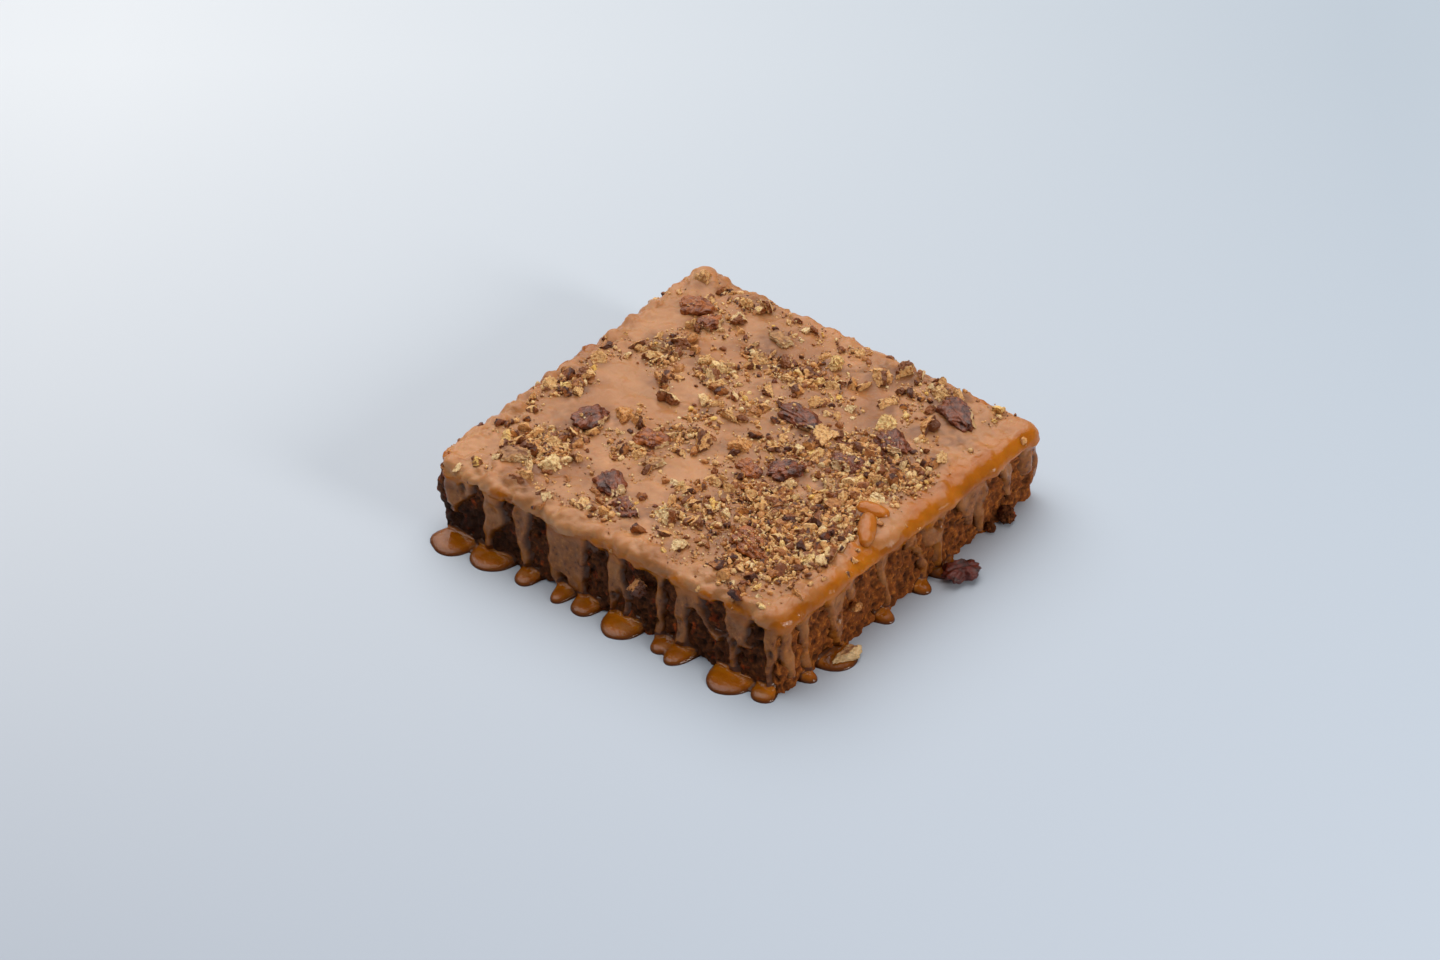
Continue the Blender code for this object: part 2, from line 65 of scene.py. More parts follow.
def makeCamera():
    data = bpy.data.cameras.new("camera")
    data.lens = view["lens"]
    data.sensor_width = 36
    data.clip_end = 50
    camera = bpy.data.objects.new("camera", data)
    bpy.context.scene.collection.objects.link(camera)
    camera.location = view["place"]
    aim = Vector(view["lookAt"]) - Vector(view["place"])
    camera.rotation_euler = aim.to_track_quat("-Z", "Y").to_euler()
    bpy.context.scene.camera = camera


def sunLight(name):
    come, angle, power, colour = studio[name]
    data = bpy.data.lights.new(name, "SUN")
    data.angle = math.radians(angle)
    data.energy = power
    data.color = colour
    light = bpy.data.objects.new(name, data)
    bpy.context.scene.collection.objects.link(light)
    light.rotation_euler = (-Vector(come)).to_track_quat("-Z", "Y").to_euler()


def makeLights():
    sunLight("overhead")
    sunLight("key")
    world = bpy.data.worlds.new("studio")
    bpy.context.scene.world = world
    world.use_nodes = True
    back = world.node_tree.nodes["Background"]
    colour, strength = studio["world"]
    back.inputs["Color"].default_value = (*colour, 1)
    back.inputs["Strength"].default_value = strength


class Nodes:
    # A short way to write a material's node tree.
    def __init__(self, name):
        self.material = bpy.data.materials.new(name)
        self.material.use_nodes = True
        self.tree = self.material.node_tree
        self.shader = self.tree.nodes["Principled BSDF"]
        self.place = self.tree.nodes.new("ShaderNodeTexCoord").outputs["Object"]

    def add(self, kind, inputs=None, **settings):
        node = self.tree.nodes.new("ShaderNode" + kind)
        for key, value in settings.items():
            setattr(node, key, value)
        for key, value in (inputs or {}).items():
            if isinstance(value, bpy.types.NodeSocket):
                self.tree.links.new(value, node.inputs[key])
            else:
                node.inputs[key].default_value = value
        return node

    def noise(self, scale, detail=3, rough=0.55, warp=0.0):
        made = self.add("TexNoise", {"Vector": self.place, "Scale": scale, "Detail": detail,
                                     "Roughness": rough, "Distortion": warp})
        return made.outputs["Fac"]

    def ramp(self, value, places, colours, smooth=True):
        made = self.add("ValToRGB", {"Fac": value})
        ramp = made.color_ramp
        ramp.interpolation = "EASE" if smooth else "LINEAR"
        while len(ramp.elements) < len(colours):
            ramp.elements.new(0.5)
        for element, place, colour in zip(ramp.elements, places, colours):
            element.position = place
            element.color = (*colour, 1)
        return made.outputs["Color"]

    def mix(self, share, first, second, blend="MIX"):
        made = self.add("Mix", data_type="RGBA", blend_type=blend)
        for key, value in (("Factor", share), ("A", first), ("B", second)):
            socket = [s for s in made.inputs if s.name == key and s.enabled][0]
            if isinstance(value, bpy.types.NodeSocket):
                self.tree.links.new(value, socket)
            else:
                socket.default_value = value if key == "Factor" else (*value, 1)
        return [s for s in made.outputs if s.enabled][0]

    def maths(self, operation, first, second):
        return self.add("Math", {0: first, 1: second}, operation=operation).outputs[0]

    def times(self, first, second):
        return self.maths("MULTIPLY", first, second)

    def between(self, value, low, high, toLow=0.0, toHigh=1.0):
        made = self.add("MapRange", {"Value": value, "From Min": low, "From Max": high,
                                     "To Min": toLow, "To Max": toHigh})
        return made.outputs["Result"]

    def attribute(self, name):
        return self.add("Attribute", attribute_name=name).outputs["Fac"]

    def bump(self, height, distance, strength=1.0, under=None):
        inputs = {"Height": height, "Distance": distance, "Strength": strength}
        if under:
            inputs["Normal"] = under
        return self.add("Bump", inputs).outputs["Normal"]

    def finish(self, colour, rough, normal, specular, soft=0.0, reach=None, bend=None):
        # soft is how much light goes under the surface, and reach how far, for red, green, blue.
        values = {"Base Color": colour, "Roughness": rough, "Normal": normal,
                  "Specular IOR Level": specular, "IOR": bend}
        if soft:
            values.update({"Subsurface Weight": soft, "Subsurface Radius": reach, "Subsurface Scale": 1.0})
        for key, value in values.items():
            if isinstance(value, bpy.types.NodeSocket):
                self.tree.links.new(value, self.shader.inputs[key])
            elif value is not None:
                self.shader.inputs[key].default_value = value
        return self.material


toffeeTones = {
    "tanSheen": ((0.49, 0.215, 0.080), (0.59, 0.272, 0.112)),  # the pale top: milky caramel with the overhead light's sheen painted in
    "warm": ((0.34, 0.122, 0.030), (0.48, 0.190, 0.062)),  # its darker patches
    "stainShade": (0.21, 0.076, 0.023),  # syrup stain and painted shade round the nuts
    "amber": ((0.33, 0.086, 0.001), (0.52, 0.150, 0.003)),  # the clear rolled edge
    "film": ((0.12, 0.032, 0.003), (0.29, 0.090, 0.012), (0.47, 0.160, 0.026)),
    "filmMilk": (0.42, 0.158, 0.036),
    "thin": (0.07, 0.018, 0.004),  # film that the crumb shows through
    "pool": (0.24, 0.060, 0.002),
    # painted reflection of the overhead light on a pool's upper surface
    "poolSheen": (0.44, 0.190, 0.070),
    "poolRim": (0.10, 0.024, 0.003),
}


def toffeeFinish():
    n = Nodes("pouredToffee")
    tone = toffeeTones
    edge = n.attribute("lip")  # 0 on top, 1 on the rolled edge and the sides
    patch = n.noise(38, 4, 0.6)
    # the pale top tone holds a painted sheen of the overhead light over the caramel
    tanSheen = n.ramp(patch, (0.3, 0.7), tone["tanSheen"])
    warm = n.ramp(patch, (0.3, 0.7), tone["warm"])
    top = n.mix(n.between(n.noise(24, 3, 0.55), 0.48, 0.64, 0.0, 0.85), tanSheen, warm)
    # syrup stain together with painted shade between grains and round pecans
    top = n.mix(n.times(n.attribute("stainShade"), 0.85), top, tone["stainShade"])
    amber = n.ramp(patch, (0.3, 0.7), tone["amber"])
    patchy = n.times(edge, n.between(n.noise(75, 3), 0.40, 0.58, 0.35, 1.0))
    colour = n.mix(n.maths("MAXIMUM", patchy, n.between(edge, 0.85, 1.0)), top, amber)
    film = n.ramp(n.noise(330, 4, 0.65), (0.30, 0.5, 0.72), tone["film"])
    film = n.mix(n.between(n.noise(62, 2), 0.50, 0.62, 0.0, 0.55), film, tone["filmMilk"])
    colour = n.mix(n.attribute("web"), colour, film)
    colour = n.mix(n.between(n.attribute("cover"), 1.7, 0.0, 0.0, 0.9), colour, tone["thin"])
    low = n.add("SeparateXYZ", {"Vector": n.place}).outputs["Z"]
    pool = n.times(n.between(n.attribute("depth"), 3.0, 4.5), n.between(low, 0.006, 0.004))
    colour = n.mix(n.times(pool, 0.45), colour, tone["pool"])
    # a painted reflection of the overhead light, in patches on the pools' upper parts
    poolSheenShare = n.times(pool, n.between(n.noise(90, 2), 0.46, 0.60, 0.0, 0.5))
    colour = n.mix(n.times(poolSheenShare, n.between(low, 0.0014, 0.0026)), colour, tone["poolSheen"])
    colour = n.mix(n.between(low, 0.0022, 0.0005), colour, tone["poolRim"])
    dull = n.between(n.noise(120, 3), 0.3, 0.7, 0.28, 0.42)
    shine = n.between(n.noise(150, 3), 0.3, 0.7, 0.09, 0.20)
    rough = n.maths("ADD", n.times(dull, n.maths("SUBTRACT", 1.0, edge)), n.times(shine, edge))
    fine = n.bump(n.noise(900, 3, 0.6), 0.0005, 0.3)
    normal = n.bump(n.noise(260, 3, 0.6), 0.0012, 0.3, fine)
    return n.finish(colour, rough, normal, 0.34, 0.3, (0.005, 0.0018, 0.0006), 1.48)


crumbTones = {
    "grain": ((0.045, 0.009, 0.001), (0.25, 0.060, 0.006), (0.72, 0.22, 0.03)),  # deep to raised; the dark of the deep grain is painted shade
    "broad": (0.40, 0.100, 0.010),
    "dryShade": ((0.40, 0.40, 0.5), (1.1, 0.62, 0.4)),  # what dry crumb's colour is multiplied by; on the front it also paints in shade
    # painted shade in the pores, and the darker patch low on the front left
    "poreShadeAndDark": (0.010, 0.003, 0.001),
}


def crumbFinish():
    n = Nodes("dateCrumb")
    grain = n.noise(420, 5, 0.7)
    # the crumb's brown, darkened by painted shade where the grain lies deep
    colour = n.ramp(grain, (0.28, 0.47, 0.70), crumbTones["grain"])
    colour = n.mix(n.between(n.noise(70, 4, 0.6), 0.35, 0.7, 0.0, 0.4), colour, crumbTones["broad"])
    rusty = n.mix(n.between(n.noise(190, 3), 0.56, 0.66), *crumbTones["dryShade"])
    dryShade = n.mix(1.0, colour, rusty, "MULTIPLY")
    colour = n.mix(n.attribute("soakedLit"), dryShade, colour)  # toffee has run into the crumb there, and the right side is painted lighter than the shaded front
    # painted shade in the pores, plus the darker patch low on the front left
    colour = n.mix(n.attribute("poreShadeAndDark"), colour, crumbTones["poreShadeAndDark"])
    fine = n.bump(grain, 0.0018, 1.0)
    normal = n.bump(n.noise(1300, 3, 0.7), 0.0005, 0.7, fine)
    return n.finish(colour, 0.7, normal, 0.22, 0.08, (0.003, 0.001, 0.0005))


def nutFinish(name, skin, flesh, gloss):
    n = Nodes(name)
    broken = n.attribute("flesh")  # 1 where the nut is broken open
    skinColour = n.ramp(n.noise(160, 4, 0.65, 1.5), (0.32, 0.68), skin)
    fleshColour = n.ramp(n.noise(300, 4, 0.6), (0.3, 0.7), flesh)
    ragged = n.maths("ADD", broken, n.between(n.noise(350, 4), 0.3, 0.7, -0.3, 0.3))
    colour = n.mix(n.between(ragged, 0.42, 0.58), skinColour, fleshColour)
    normal = n.bump(n.noise(700, 4, 0.65), 0.0007, 0.8)
    return n.finish(colour, gloss, normal, 0.5, 0.15, (0.003, 0.0015, 0.0007))


grainTones = {
    "nut": ((0.0, (0.20, 0.045, 0.008)), (0.15, (0.46, 0.165, 0.040)), (0.4, (0.80, 0.39, 0.125)),
            (0.75, (0.94, 0.58, 0.24)), (0.92, (1.0, 0.74, 0.39)), (1.0, (0.99, 0.58, 0.11))),
    "powder": ((0.0, (0.12, 0.038, 0.012)), (0.4, (0.36, 0.155, 0.055)), (1.0, (0.88, 0.60, 0.33))),
    "mottle": ((0.50, 0.32, 0.20), (1.0, 1.0, 1.0)),
    "skin": ((0.075, 0.017, 0.006), (0.30, 0.095, 0.024)),
}


def grainFinish(name, kind, gloss):
    n = Nodes(name)
    tone = n.attribute("tone")  # one value for each grain
    colour = n.ramp(tone, *zip(*grainTones[kind]), smooth=False)
    mottled = n.ramp(n.noise(700, 4, 0.65), (0.36, 0.54), grainTones["mottle"])
    colour = n.mix(0.85, colour, mottled, "MULTIPLY")
    colour = n.mix(n.attribute("skin"), colour, n.ramp(tone, (0.0, 1.0), grainTones["skin"]))
    normal = n.bump(n.noise(950, 4, 0.65), 0.0007, 0.9)
    return n.finish(colour, gloss, normal, 0.45, 0.12, (0.002, 0.001, 0.0005))


def floorFinish():
    n = Nodes("paleFloor")
    parts = n.add("SeparateXYZ", {"Vector": n.place})
    x, y = parts.outputs["X"], parts.outputs["Y"]
    c, s = studio["floorAcross"]
    beside, nearest, farthest = studio["floorReach"]
    across = n.maths("ADD", n.times(x, c), n.times(y, s))
    away = n.maths("SUBTRACT", n.times(y, c), n.times(x, s))
    far = n.between(away, nearest, farthest)
    # the floor's tones paint in light and shade that change from near to far and from left to right
    left = n.mix(far, *studio["floorLeftLight"])
    right = n.mix(far, *studio["floorRightLight"])
    colour = n.mix(n.between(across, -beside, beside), left, right)
    return n.finish(colour, 0.75, None, 0.15)


block = {  # the outline that the crumb block and the toffee share
    "foot": ((-101.5, -95.5), (99.5, -96.0), (99.0, 100.0), (-102.5, 101.0)),
    "shoulder": ((-102.0, -95.0), (96.0, -93.0), (100.5, 96.5), (-104.0, 101.0)),
    "height": 38.5,
    "centre": (-1.5, 2.5),
    "halfX": 101.0,
    "halfY": 98.0,
    "cornerRadius": 7.0,
    "crags": ((0.9, 27.0, 3.1), (1.3, 9.5, 7.7)),  # depth, spacing and seed
    "bulges": (("front", -101.0, 4.5, 9.0, 26.0, 14.0),  # side, along, depth, half width,
               ("right", 98.0, 3.0, 9.0, 21.0, 14.0)),  # height and half height
}
perimeter = 4 * (block["halfX"] + block["halfY"])


def around(side, along):
    halfX, halfY = block["halfX"], block["halfY"]
    centreX, centreY = block["centre"]
    if side == "front":
        return halfX + along - centreX
    if side == "right":
        return 2 * halfX + halfY + along - centreY
    if side == "back":
        return 3 * halfX + 2 * halfY - along + centreX
    return 4 * halfX + 3 * halfY - along + centreY


def distanceRound(u, v):
    x, y = block["centre"][0] + u * block["halfX"], block["centre"][1] + v * block["halfY"]
    spots = [around("front", x), around("right", y), around("back", x), around("left", y) % perimeter]
    return np.select([-v >= abs(u), u >= abs(v), v >= abs(u)], spots[:3], spots[3])


def rounded(u, v):
    # Moves a point on the edge of the square onto the rounded corner, and gives the way out.
    halfX, halfY, radius = block["halfX"], block["halfY"], block["cornerRadius"]
    flatX, flatY = (1 - abs(u)) * halfX, (1 - abs(v)) * halfY
    alongX = flatY <= flatX
    fromCorner = np.maximum(flatX, flatY)
    turn = math.pi / 4 * np.maximum(0, 1 - fromCorner / radius)
    inward = radius * (1 - np.cos(turn))
    fromCorner = np.where(fromCorner < radius, radius * (1 - np.sin(turn)), fromCorner)
    outX = np.where(alongX, np.sin(turn), np.cos(turn))
    outY = np.where(alongX, np.cos(turn), np.sin(turn))
    inX, inY = np.where(alongX, fromCorner, inward), np.where(alongX, inward, fromCorner)
    signX, signY = np.copysign(1, u), np.copysign(1, v)
    return signX * (1 - inX / halfX), signY * (1 - inY / halfY), signX * outX, signY * outY


def inCorners(corners, u, v):
    a, b = (u + 1) / 2, (v + 1) / 2
    places = []
    for axis in (0, 1):
        p, q, r, s = (corner[axis] for corner in corners)
        places.append((1 - b) * ((1 - a) * p + a * q) + b * ((1 - a) * s + a * r))
    return places


def rim(u, v, height):
    # Points of the block's smooth side and the way out of it.
    u, v, outX, outY = rounded(u, v)
    share = np.clip(height / block["height"], 0, 1)
    footX, footY = inCorners(block["foot"], u, v)
    topX, topY = inCorners(block["shoulder"], u, v)
    return footX + (topX - footX) * share, footY + (topY - footY) * share, outX, outY


def climb(value, start, width):
    # 0 up to the start, and 1 from a width past it.
    return np.clip((value - start) / width, 0, 1)


def waves(x, y, z, depth, spacing, seed):
    shift = Vector((seed, -seed, 0.5 * seed))
    pick = noise.noise
    return np.array([depth * pick(Vector(p) / spacing + shift) for p in zip(x, y, z)])


def wander(place, shape):
    still = np.zeros_like(place)
    return waves(place, still, still, *shape)


def apart(place, centre):
    return (place - centre + perimeter / 2) % perimeter - perimeter / 2


def crags(u, v, height):
    x, y, _, _ = rim(u, v, height)
    z = np.maximum(height, 0)
    out = sum(waves(x, y, z, *crag) for crag in block["crags"])
    for side, along, depth, wide, middle, high in block["bulges"]:
        offset = apart(distanceRound(u, v), around(side, along)) / wide
        out += depth * np.exp(-(offset**2) - ((z - middle) / high) ** 2)
    return out


toffee = {  # waves and reliefs give depth, spacing and seed
    "top": 42.0,
    "swell": (0.7, 34.0, 2.2),
    "ripple": (0.35, 13.0, 9.1),
    "relief": ((0.50, 6.5, 4.4), (0.24, 2.6, 6.6)),  # dimples all over
    "warp": ((1.9, 8.0, 12.3), (0.5, 3.3, 15.7)),  # how the edge of the toffee wanders
    "lip": (36.3, 33.6, 35.6, 36.0),  # height of the lip's lower edge: front, right, back, left
    "lipWave": (2.4, 17.0, 1.3),
    "strands": (2.0, 5.5, 18.7),  # thick and thin places that run down the films
    "sideRelief": ((0.50, 5.4, 21.3), (0.22, 2.6, 23.3)),
    "edgeRelief": ((2.1, 8.5, 31.3), (0.9, 3.8, 33.3)),  # lumps along the rolled edge
    "tanSheenDown": (40.0, 4.6, 12.0, 2.9),  # how low the pale top colour with its painted sheen runs, and how that wanders
    "tanSheenRoll": (-28, 26, 5.0),  # where on the front the pale colour with its painted sheen rolls lower: place, half width, drop
    "amberDown": (33.6, 3.4, 15.0, 4.9),  # the same for the clear toffee of the lip
    "film": 1.9,  # thickness
    "thinner": 0.85,  # taken off in the middle of a wide film
    "rounding": 1.9,  # how far in from its edge a film reaches its full thickness
    "bare": 1.6,  # how deep the skin sinks into the crumb where there is no toffee
    "fillet": 2.2,  # how softly two runs of toffee join
    "poolHeight": 3.3,
    "cells": 186,  # across the top
    "shoulder": ((-4.0, 41.98), (-3.1, 41.8), (-2.1, 41.5), (-1.1, 41.1), (-0.2, 40.55), (0.6, 39.9),
                 (1.3, 39.1), (1.8, 38.2), (2.15, 37.2), (2.3, 36.2)),  # out from the rim, height
    "inset": 4.8,  # where the flat top ends, in from the block's rim
    "wallTop": 35.2,
    "wallStep": 1.06,  # between rows on the side
    "foot": (4.2, 3.7, 3.4, 3.3, 3.25, 3.15, 3.0, 2.8, 2.5, 2.1, 1.6, 1.1, 0.55, 0.0),
    "creep": (1.2, 1.2),  # how far a pool creeps up the side, and how soon that fades
    "shell": 0.9,
    "underside": 38.75,
    "solid": 9.0,  # the depth and cover given to toffee that the crumb never shows through
    "rollFrom": 39.6,  # above this height the shoulder is whole all the way round
    "rightLip": (88.5, 9.0, (12.0, 19.0, 3.7)),  # from where, over what width, and how that wanders
    "rightSwell": (1.1, 0.97, 36.5, 3.0),  # how much fuller the right lip is, from where, height, spread
}
frontFlows = (  # along X, height, half width
    ((-86, 37, 9), (-90, 27, 6), (-94, 17, 2.5)),
    ((-69, 36, 8), (-69.5, 24, 6.5), (-72, 14, 3), (-71, 0, 1.8)),
    ((-50, 34, 5), (-51, 22, 4), (-50, 9, 2.6), (-48, 0, 1.8)),
    ((-24, 34, 13), (-24, 20, 11.5)),
    ((-30, 18, 5), (-32, 6, 2.4), (-28, 0, 1.8)),
    ((-19, 18, 6), (-18, 8, 3.5), (-14, 0, 1.8)),
    ((-4, 32, 6), (-4, 25, 3)),
    ((5, 32, 5), (4, 20, 2.4), (2, 0, 1.7)),
    ((7, 24, 2.5), (10, 12, 1.8), (10, 1, 1.6)),
    ((12, 37, 2.5), (20, 35.8, 3), (29, 36.5, 2.8)),
    ((31, 36, 4), (31.5, 18, 2.4), (31, 0, 2)),
    ((44, 34, 3), (44, 16, 2.6), (43, 0, 3)),
    ((50, 33, 7), (56, 25, 2), (62, 17.5, 1.5), (73, 18.5, 1.6), (84, 20, 1.5)),
    ((77, 33, 8), (76, 23, 5)),
    ((74, 19, 2.4), (74, 0, 2.2)),
    ((95, 36, 5), (95, 22, 3.5), (93, 12, 1.7), (93, 0, 1.7)),
)
rightFlows = (  # along Y, height, half width
    ((-92, 34, 5), (-90, 20, 2.4), (-87, 8, 1.7)),
    ((-78, 32, 3.5), (-76, 12, 1.9), (-73, 0, 1.7)),
    ((-56, 32, 7.5), (-54, 20, 4.5), (-52, 10, 2), (-53, 0, 1.8)),
    ((-44, 32, 5), (-43, 25, 3)),
    ((-19, 31, 4), (-17, 16, 1.8), (-16, 0, 1.7)),
    ((3, 30, 3), (8, 22, 1.8), (11, 12, 1.7), (12, 0, 1.7)),
    ((20, 31, 9), (20, 25, 7.5)),
    ((22, 22, 3), (23, 0, 1.7)),
    ((46, 30, 6), (47, 14, 1.7)),
    ((55, 30, 4), (56, 6, 1.7)),
    ((76, 30, 3.5), (78, 13, 1.7)),
    ((91, 32, 4), (92, 20, 2.5)),
)
pools = (  # side, along, half width, reach
    ("front", -90, 11, 15), ("front", -68, 11.5, 13), ("front", -46, 6.5, 10.5),
    ("front", -25, 5.5, 10.5), ("front", -11, 7.5, 11), ("front", 11, 11, 14),
    ("front", 35, 6, 9.5), ("front", 45, 7, 12), ("front", 74, 12, 14),
    ("front", 92, 6.5, 8), ("right", -57, 10.5, 12), ("right", -20, 5, 7),
    ("right", 8, 5, 7), ("right", 26, 8, 9), ("right", -76, 4, 5),
)
hidden = {  # the runs on the back and left sides
    "count": 15,
    "seed": 21,
    "feet": (0.0, 6.0, 11.0, 16.0, 21.0),  # heights that they end at
    "widths": (2.5, 3.5, 5.0, 7.0),
    "lean": 3.0,
    "tips": (1.7, 2.4),
    "pools": (5, 10),
}
holes = (  # side, along, height, half width, half height
    ("front", -77, 31, 3.0, 8), ("front", -60, 29, 4.0, 8), ("front", 0, 31, 1.8, 2.4),
    ("front", 15, 28, 4.6, 6), ("front", 26, 28, 3.4, 4), ("front", 37, 27, 3.6, 9),
    ("front", 63, 30, 6.0, 6.5), ("front", 87, 30, 3.6, 7), ("front", -41, 23, 5.2, 7),
    ("front", -5, 26, 4.4, 7), ("front", -8, 33, 1.6, 2.5),
    ("front", -101, 23, 6.5, 19), ("left", -94, 24, 8, 17),
    ("right", -86, 29, 2.2, 4), ("right", -81, 24, 1.2, 6), ("right", -66, 26, 4.5, 5),
    ("right", -31, 25, 6, 5), ("right", -7, 26, 4.5, 5), ("right", 37, 26, 4.0, 5),
    ("right", 66, 27, 4.0, 6), ("right", 85, 27, 3.5, 5),
)
pinholes = {"count": 60, "sizes": (0.8, 2.2), "heights": (9, 33), "stretch": (1, 1.7), "seed": 31}


def placedHoles():
    placed = [(around(side, a), z, wide, high) for side, a, z, wide, high in holes]
    draw = random.Random(pinholes["seed"])
    for _ in range(pinholes["count"]):
        size = draw.uniform(*pinholes["sizes"])
        place, height = draw.uniform(0, perimeter), draw.uniform(*pinholes["heights"])
        placed.append((place, height, size, size * draw.uniform(*pinholes["stretch"])))
    return placed


def hiddenFlows():
    # The same draws as the solid's, so that the back and left sides match it.
    draw = random.Random(hidden["seed"])
    flows = []
    for side, half in (("back", block["halfX"]), ("left", block["halfY"])):
        for i in range(hidden["count"]):
            along = (2 * (i + draw.uniform(0.2, 0.8)) / hidden["count"] - 1) * half
            foot = draw.choice(hidden["feet"])
            wide = draw.choice(hidden["widths"])
            lean = draw.uniform(-hidden["lean"], hidden["lean"])
            middle = (around(side, along + lean / 2), (32 + foot) / 2, 0.6 * wide + 0.6)
            tip = (around(side, along + lean), foot, draw.uniform(*hidden["tips"]))
            flows.append(((around(side, along), 33.0, wide), middle, tip))
    return flows


def placedFlows():
    flows = []
    for side, listed in (("front", frontFlows), ("right", rightFlows)):
        flows += [tuple((around(side, a), z, r) for a, z, r in flow) for flow in listed]
    return flows + hiddenFlows()


def placedPools(flows):
    placed = [(around(side, a), half, reach) for side, a, half, reach in pools]
    draw = random.Random(hidden["seed"] + 1)
    for flow in flows:
        place, foot, _ = flow[-1]
        if place > 2 * (block["halfX"] + block["halfY"]) and foot == 0:
            placed.append((place, draw.uniform(*hidden["pools"]), draw.uniform(*hidden["pools"])))
    return placed


def smoothMax(a, b, fillet):
    near = np.maximum(fillet - abs(a - b), 0) / fillet
    return np.maximum(a, b) + near * near * fillet / 4


def insideRun(place, height, start, end):
    (s0, z0, r0), (s1, z1, r1) = start, end
    runX, runZ = s1 - s0, z1 - z0
    toX = apart(place, s0)
    toZ = height - z0
    share = np.clip((toX * runX + toZ * runZ) / (runX**2 + runZ**2), 0, 1)
    return r0 + (r1 - r0) * share - np.hypot(toX - runX * share, toZ - runZ * share)


def lipLine(place):
    front, right, back, left = toffee["lip"]
    halfX, halfY = block["halfX"], block["halfY"]
    turns = np.array((0, 2 * halfX, 2 * halfX, 2 * (halfX + halfY), 2 * (halfX + halfY),
                      4 * halfX + 2 * halfY, 4 * halfX + 2 * halfY, perimeter), float)
    turns += np.array((4, -4, 4, -4, 4, -4, 4, -4))
    levels = (front, front, right, right, back, back, left, left)
    return np.interp(place % perimeter, turns, levels, period=perimeter)


def coverOf(place, height, flows, gaps):
    covered = height - lipLine(place) - wander(place, toffee["lipWave"])
    for flow in flows:
        for start, end in zip(flow, flow[1:]):
            covered = smoothMax(covered, insideRun(place, height, start, end), toffee["fillet"])
    for centre, z, wide, high in gaps:
        offset = apart(place, centre)
        out = (np.hypot(offset / wide, (height - z) / high) - 1) * min(wide, high)
        covered = -smoothMax(-covered, -out, 1.0)
    below = climb(-height, -33, 5)
    return covered + below * waves(place, height / 4, np.zeros_like(place), *toffee["strands"])


def poolReach(place, height, placed):
    reached = np.full_like(place, -toffee["bare"])
    creep, fade = toffee["creep"]
    for centre, half, reach in placed:
        offset = apart(place, centre)
        wide = 1 - (offset / half) ** 2
        left = wide - (height / toffee["poolHeight"]) ** 2
        pool = np.where(left > 0, reach * np.sqrt(np.maximum(left, 0)), -toffee["bare"])
        skirt = (creep + toffee["bare"]) * np.exp(-np.maximum(height - toffee["poolHeight"], 0) / fade)
        skirt = skirt * np.sqrt(np.maximum(wide, 0)) - toffee["bare"]
        reached = np.maximum(reached, np.where(wide > 0, np.maximum(pool, skirt), reached))
    return reached


def topHeight(x, y):
    still = np.zeros_like(x)
    return toffee["top"] + waves(x, y, still, *toffee["swell"]) + waves(x, y, still, *toffee["ripple"])


def meshOf(name, bm):
    mesh = bpy.data.meshes.new(name)
    bm.to_mesh(mesh)
    bm.free()
    return mesh


def newPiece(name, bm, material):
    return pieceOf(name, meshOf(name, bm), material)


def pieceOf(name, mesh, material):
    mesh.materials.append(material)
    mesh.shade_smooth()
    piece = bpy.data.objects.new(name, mesh)
    bpy.context.scene.collection.objects.link(piece)
    return piece


def pointsOf(mesh):
    points = np.empty(len(mesh.vertices) * 3, np.float32)
    mesh.vertices.foreach_get("co", points)
    return points.reshape(-1, 3).astype(float)


def putPoints(mesh, points):
    mesh.vertices.foreach_set("co", np.ascontiguousarray(points, np.float32).ravel())
    mesh.update()


def putAttribute(mesh, name, values):
    made = mesh.attributes.new(name, "FLOAT", "POINT")
    made.data.foreach_set("value", np.ascontiguousarray(values, np.float32))


def hangRows(bm, rows):
    # Rows of faces that hang from the open edge; a point's height is then its row's number.
    edge = [e for e in bm.edges if e.is_boundary]
    for _ in range(rows):
        made = bmesh.ops.extrude_edge_only(bm, edges=edge)["geom"]
        row = [g for g in made if isinstance(g, bmesh.types.BMVert)]
        bmesh.ops.translate(bm, verts=row, vec=(0, 0, 1))
        edge = [g for g in made if isinstance(g, bmesh.types.BMEdge)]
    return edge


domes = {  # bumps under the toffee: number, width and height
    "top": (420, (1.6, 4.2), (0.25, 0.9)),
    "topReach": (95, 92),
    "edge": ((80, (3.0, 6.5), (0.6, 1.5)), (210, (1.0, 2.2), (0.4, 1.1))),
    "edgeHeights": (34, 42),
    "rightShare": 0.45,  # the right lip is smoother
    "placed": (  # X, Y, Z, width and height
        (101.5, 27, 37, 4.5, 1.5), (98, -12, 38, 5, 1.2), (100, 62, 38, 6, 1.2),
        (97, -55, 38.5, 6, 1.3), (-24, -97, 38, 7, 2), (-66, -97, 39, 5, 1.3),
        (85.5, -13.5, 42, 5.5, 1.3), (90.5, -21.5, 42, 5.5, 1.3), (81.5, -4.5, 42, 8.5, 1.4),
        (-59, -86, 41.6, 7, 1.6), (-95, 95, 42, 11, 2.4),
    ),
    "seed": 41,
    "chipSkirt": (0.62, 0.10),  # width and height of the toffee drawn up round a chip, of its size
    "pecanSkirt": (0.55, 0.9),  # width of a pecan's length, and height
}
# how thick and how wide the syrup stain and painted shade lie round pecans and chips, and its patches
stainShading = {"pecan": (0.7, 0.62), "chip": (0.5, 0.8), "patches": ((1.1, 7.0, 5.1), (0.9, 2.5, 6.1))}


